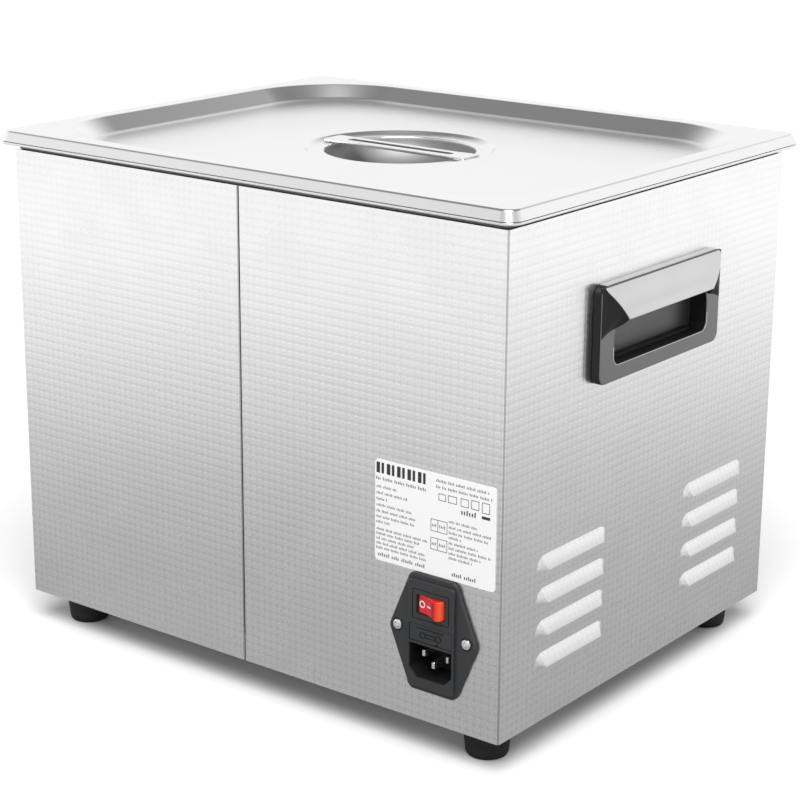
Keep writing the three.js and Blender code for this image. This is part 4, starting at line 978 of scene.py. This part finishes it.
def buttons():
    icons = []

    def flat(outline):
        icons.append(on_panel(outline, -1.1, -0.95))

    for index, (name, (x, z)) in enumerate(zip(BUTTONS, button_places())):
        cap = prism(rounded(8.7, 5.7, 2.8, x, z, 7), "y", PANEL_FRONT - 1, PANEL_BACK + 1)
        soften(cap, 0.45, 3, 40)
        collar = prism(rounded(10.2, 7.2, 2.8, x, z, 4), "y", PANEL_BACK + 0.3, PANEL_BACK + 2)
        plunger = prism(circle(2, x, z, 20), "y", PANEL_BACK + 1.5, -HALF_Y + 6.5)
        join(cap, collar, plunger)
        icons.clear()
        if name.endswith("_up"):
            flat([(x - 2.6, z - 1.5), (x + 2.6, z - 1.5), (x, z + 2.2)])
        elif name.endswith("_down"):
            flat([(x - 2.6, z + 1.5), (x, z - 2.2), (x + 2.6, z + 1.5)])
        elif name == "heat":
            for dx in (-1.8, 0, 1.8):
                wave = [(x + dx + 0.5 * math.sin(step * 0.9) - 0.22, z - 2.4 + step * 0.6)
                        for step in range(9)]
                flat(wave + [(u + 0.44, v) for u, v in wave[::-1]])
        else:
            flat(arc(x, z, 2.5, 120, 420, 24) + arc(x, z, 1.95, 420, 120, 24))
            flat([(x - 0.28, z + 0.3), (x + 0.28, z + 0.3), (x + 0.28, z + 3), (x - 0.28, z + 3)])
        body = f"{name}_key"
        dress(cap, f"{name}_cap", "key_plastic", body, replaces=[f"{name}_button"], crease=35)
        dress(gather(list(icons)), f"{name}_icon", "print", body)


# ---- drain valve
def valve():
    tail, mid = HALF_X - 9, VALVE_X
    thread = []
    for step in range(4):
        x = tail + 0.5 + step * 0.6
        thread += [(8.6, x), (9, x + 0.3)]
    profile = [(0, tail), (8.6, tail), *thread, (9, HALF_X - 6), (10.2, HALF_X - 6),
               (10.7, HALF_X - 5.5)]
    for step in range(8):
        x = HALF_X - 5.2 + step * 0.75
        profile += [(10.2, x), (10.7, x + 0.37)]
    profile += [(10.7, HALF_X + 1), (14.4, HALF_X + 1), (15, HALF_X + 1.6), (15, HALF_X + 4.4),
                (14.4, HALF_X + 5), (11.4, HALF_X + 5.4), (11.2, HALF_X + 6), (12.2, mid - 8.6),
                (13, mid - 7.4), (13, mid + 7.4), (12.2, mid + 8.6), (11, mid + 10), (8.6, mid + 11.4),
                (8, mid + 12), (8.8, mid + 16), (7.7, mid + 16.4), (8.6, mid + 20), (7.5, mid + 20.4),
                (8, OUTLET_X - 0.5), (7.6, OUTLET_X), (0, OUTLET_X)]
    shell = turned(profile, 0, VALVE_Z, "x", 48)
    nut = prism(circle(15.5, 0, VALVE_Z, 6), "x", HALF_X + 1.2, HALF_X + 5)
    join(shell, soften(nut, 0.6, 2))
    boss = [(0, 0), (6.5, 0), (6.5, 12.6), (6.1, 13), (6.1, 13.8), (6.5, 14.2), (6.5, 15.5), (6, 16), (0, 16)]
    join(shell, turned([(radius, VALVE_Z + up) for radius, up in boss], mid))
    way = prism(circle(5, 0, VALVE_Z, 36), "x", tail - 1, OUTLET_X + 1)
    chamber = turned([(0, VALVE_Z - 8.8), *arc(0, VALVE_Z, 8.8, -75, 75, 10), (0, VALVE_Z + 8.8)], mid)
    neck = prism(circle(3.3, mid, 0, 24), "z", VALVE_Z, VALVE_Z + 20)
    cut(shell, way, chamber, neck)
    dress(shell, "drain_valve", "brass", replaces=["valve_body"], crease=30)

    ball = turned([(0, VALVE_Z - 7.8), *arc(0, VALVE_Z, 7.8, -80, 60, 14), (3, VALVE_Z + 7.2),
                   (3, VALVE_Z + 25.4), (2.5, VALVE_Z + 26), (0, VALVE_Z + 26)], mid)
    cut(ball, prism(circle(4.5, mid, VALVE_Z, 32), "y", -20, 20))
    dress(ball, "drain_ball", "bright_steel", "drain_handle", replaces=["valve_ball"], crease=30)

    low = VALVE_Z + 17
    arm = prism(arc(mid, 0, 8, 0, 180, 20) + arc(mid, -38, 6.5, 180, 360, 16), "z", low, low + 3)
    cut(arm, prism(circle(3.3, mid, 0, 24), "z", low - 1, low + 4))
    slot = prism(rounded(2.6, 12, 2.5, mid, -24, 6), "z", low + 2.2, low + 4)
    cut(soften(arm, 0.8, 3, 40), slot)
    dress(arm, "drain_lever", "lever_red", "drain_handle",
          replaces=["valve_lever"], crease=35)

    top = low + 3.2
    nut = soften(prism(circle(6, mid, 0, 6), "z", top, top + 3.6), 0.5, 2)
    cut(nut, prism(circle(3.3, mid, 0, 24), "z", top - 1, top + 6))
    dress(nut, "drain_lever_nut", "bright_steel", "drain_handle", replaces=["lever_nut"], crease=35)


casing()
tank()
seal()
lid()
strap()
for handle_name, handle_side in (("left", -1), ("right", 1)):
    handle(handle_name, handle_side)
inlet()
label()
feet()
fascia()
valve()


# ---- the CAD nodes that stay as they are
def finish_cad_nodes():
    for node in frame["record"]["subparts"]:
        obj = frame["nodes"][node["node"]]
        if not obj.hide_render:
            for place in obj.material_slots:
                place.material = FINISH[node["material_slot"]]


# ---- camera, floor and light
def camera():
    """Seen from behind and above the left-hand side, as far away as a long portrait lens stands."""
    azimuth, elevation, roll = math.radians(37.712), math.radians(16.797), 0.00668
    across, lift, distance = -0.7755, 12.551, 1149.19
    back = Vector((-math.sin(azimuth) * math.cos(elevation), math.cos(azimuth) * math.cos(elevation),
                   math.sin(elevation)))
    right = Vector((-math.cos(azimuth), -math.sin(azimuth), 0))
    up = back.cross(right)
    right, up = (right * math.cos(roll) + up * math.sin(roll), up * math.cos(roll) - right * math.sin(roll))
    place = -right * across - up * lift + back * distance + Vector((-SHIFT_X, 0, BASE_Z + 122.5))
    turn = Matrix((right, up, back)).transposed().to_4x4()
    data = bpy.data.cameras.new("camera")
    data.lens, data.sensor_width = 96.414, 36
    data.clip_end = 100
    obj = new_object("camera", data)
    obj.matrix_world = Matrix.Translation(place * MM) @ turn
    bpy.context.scene.camera = obj


def soft_key():
    """Sunlight from above, spread so wide that its shadows are as soft as a large softbox's."""
    data = bpy.data.lights.new("key", "SUN")
    data.energy = KEY_STRENGTH
    data.angle = math.radians(KEY_SPREAD)
    obj = new_object("key", data)
    obj.rotation_euler = Vector(KEY_FROM).to_track_quat("Z", "Y").to_euler()


def world_light():
    """Even studio light: bright behind the unit, dimmer overhead and on the camera's side."""
    world = bpy.data.worlds.new("studio")
    bpy.context.scene.world = world
    world.use_nodes = True
    tree = world.node_tree
    split = tree.nodes.new("ShaderNodeSeparateXYZ")
    tree.links.new(tree.nodes.new("ShaderNodeTexCoord").outputs["Generated"], split.inputs[0])
    east, north, up = (Value(tree, split.outputs[i]) for i in range(3))
    towards_camera = east * -0.612 + north * 0.791
    side = towards_camera.near(-0.5, 0.7, SKY_FAR, SKY_NEAR)
    strength = side * up.near(0.34, 0.80, 1, SKY_TOP)
    tree.links.new(strength.socket, tree.nodes["Background"].inputs["Strength"])
    tree.nodes["Background"].inputs["Color"].default_value = (1, 1, 1, 1)


def paper():
    """Pale floor to the camera; every other ray, so the steel's reflections too, meets a darker one: painted
    shade.
    """
    finish = Finish("floor_paper", (FLOOR_SHADE, FLOOR_SHADE, FLOOR_SHADE), 0.9)
    x, y = finish.axes()[:2]
    distance = (x * x + y * y).math("SQRT")
    # Painted shade for reflected rays only: darkest next to the unit, gone at about 1.4 m, half as dark again
    # far off.
    reflected_shade = distance.near(0.05, 1.35, 1, 0) + distance.near(1.4, 4.0, 0, 0.5)
    seen = Value(finish.tree, finish.node("LightPath").outputs["Is Camera Ray"])
    finish.tint(reflected_shade - reflected_shade * seen, (FLOOR_MIRRORED, FLOOR_MIRRORED, FLOOR_MIRRORED))
    return finish.material


def studio():
    world_light()
    bpy.ops.mesh.primitive_plane_add(size=60, location=(0, 0, 0))
    floor = bpy.context.object
    floor.name = "floor"
    floor.data.materials.append(paper())
    soft_key()
    bpy.context.scene.view_settings.view_transform = "Standard"


finish_cad_nodes()
camera()
studio()
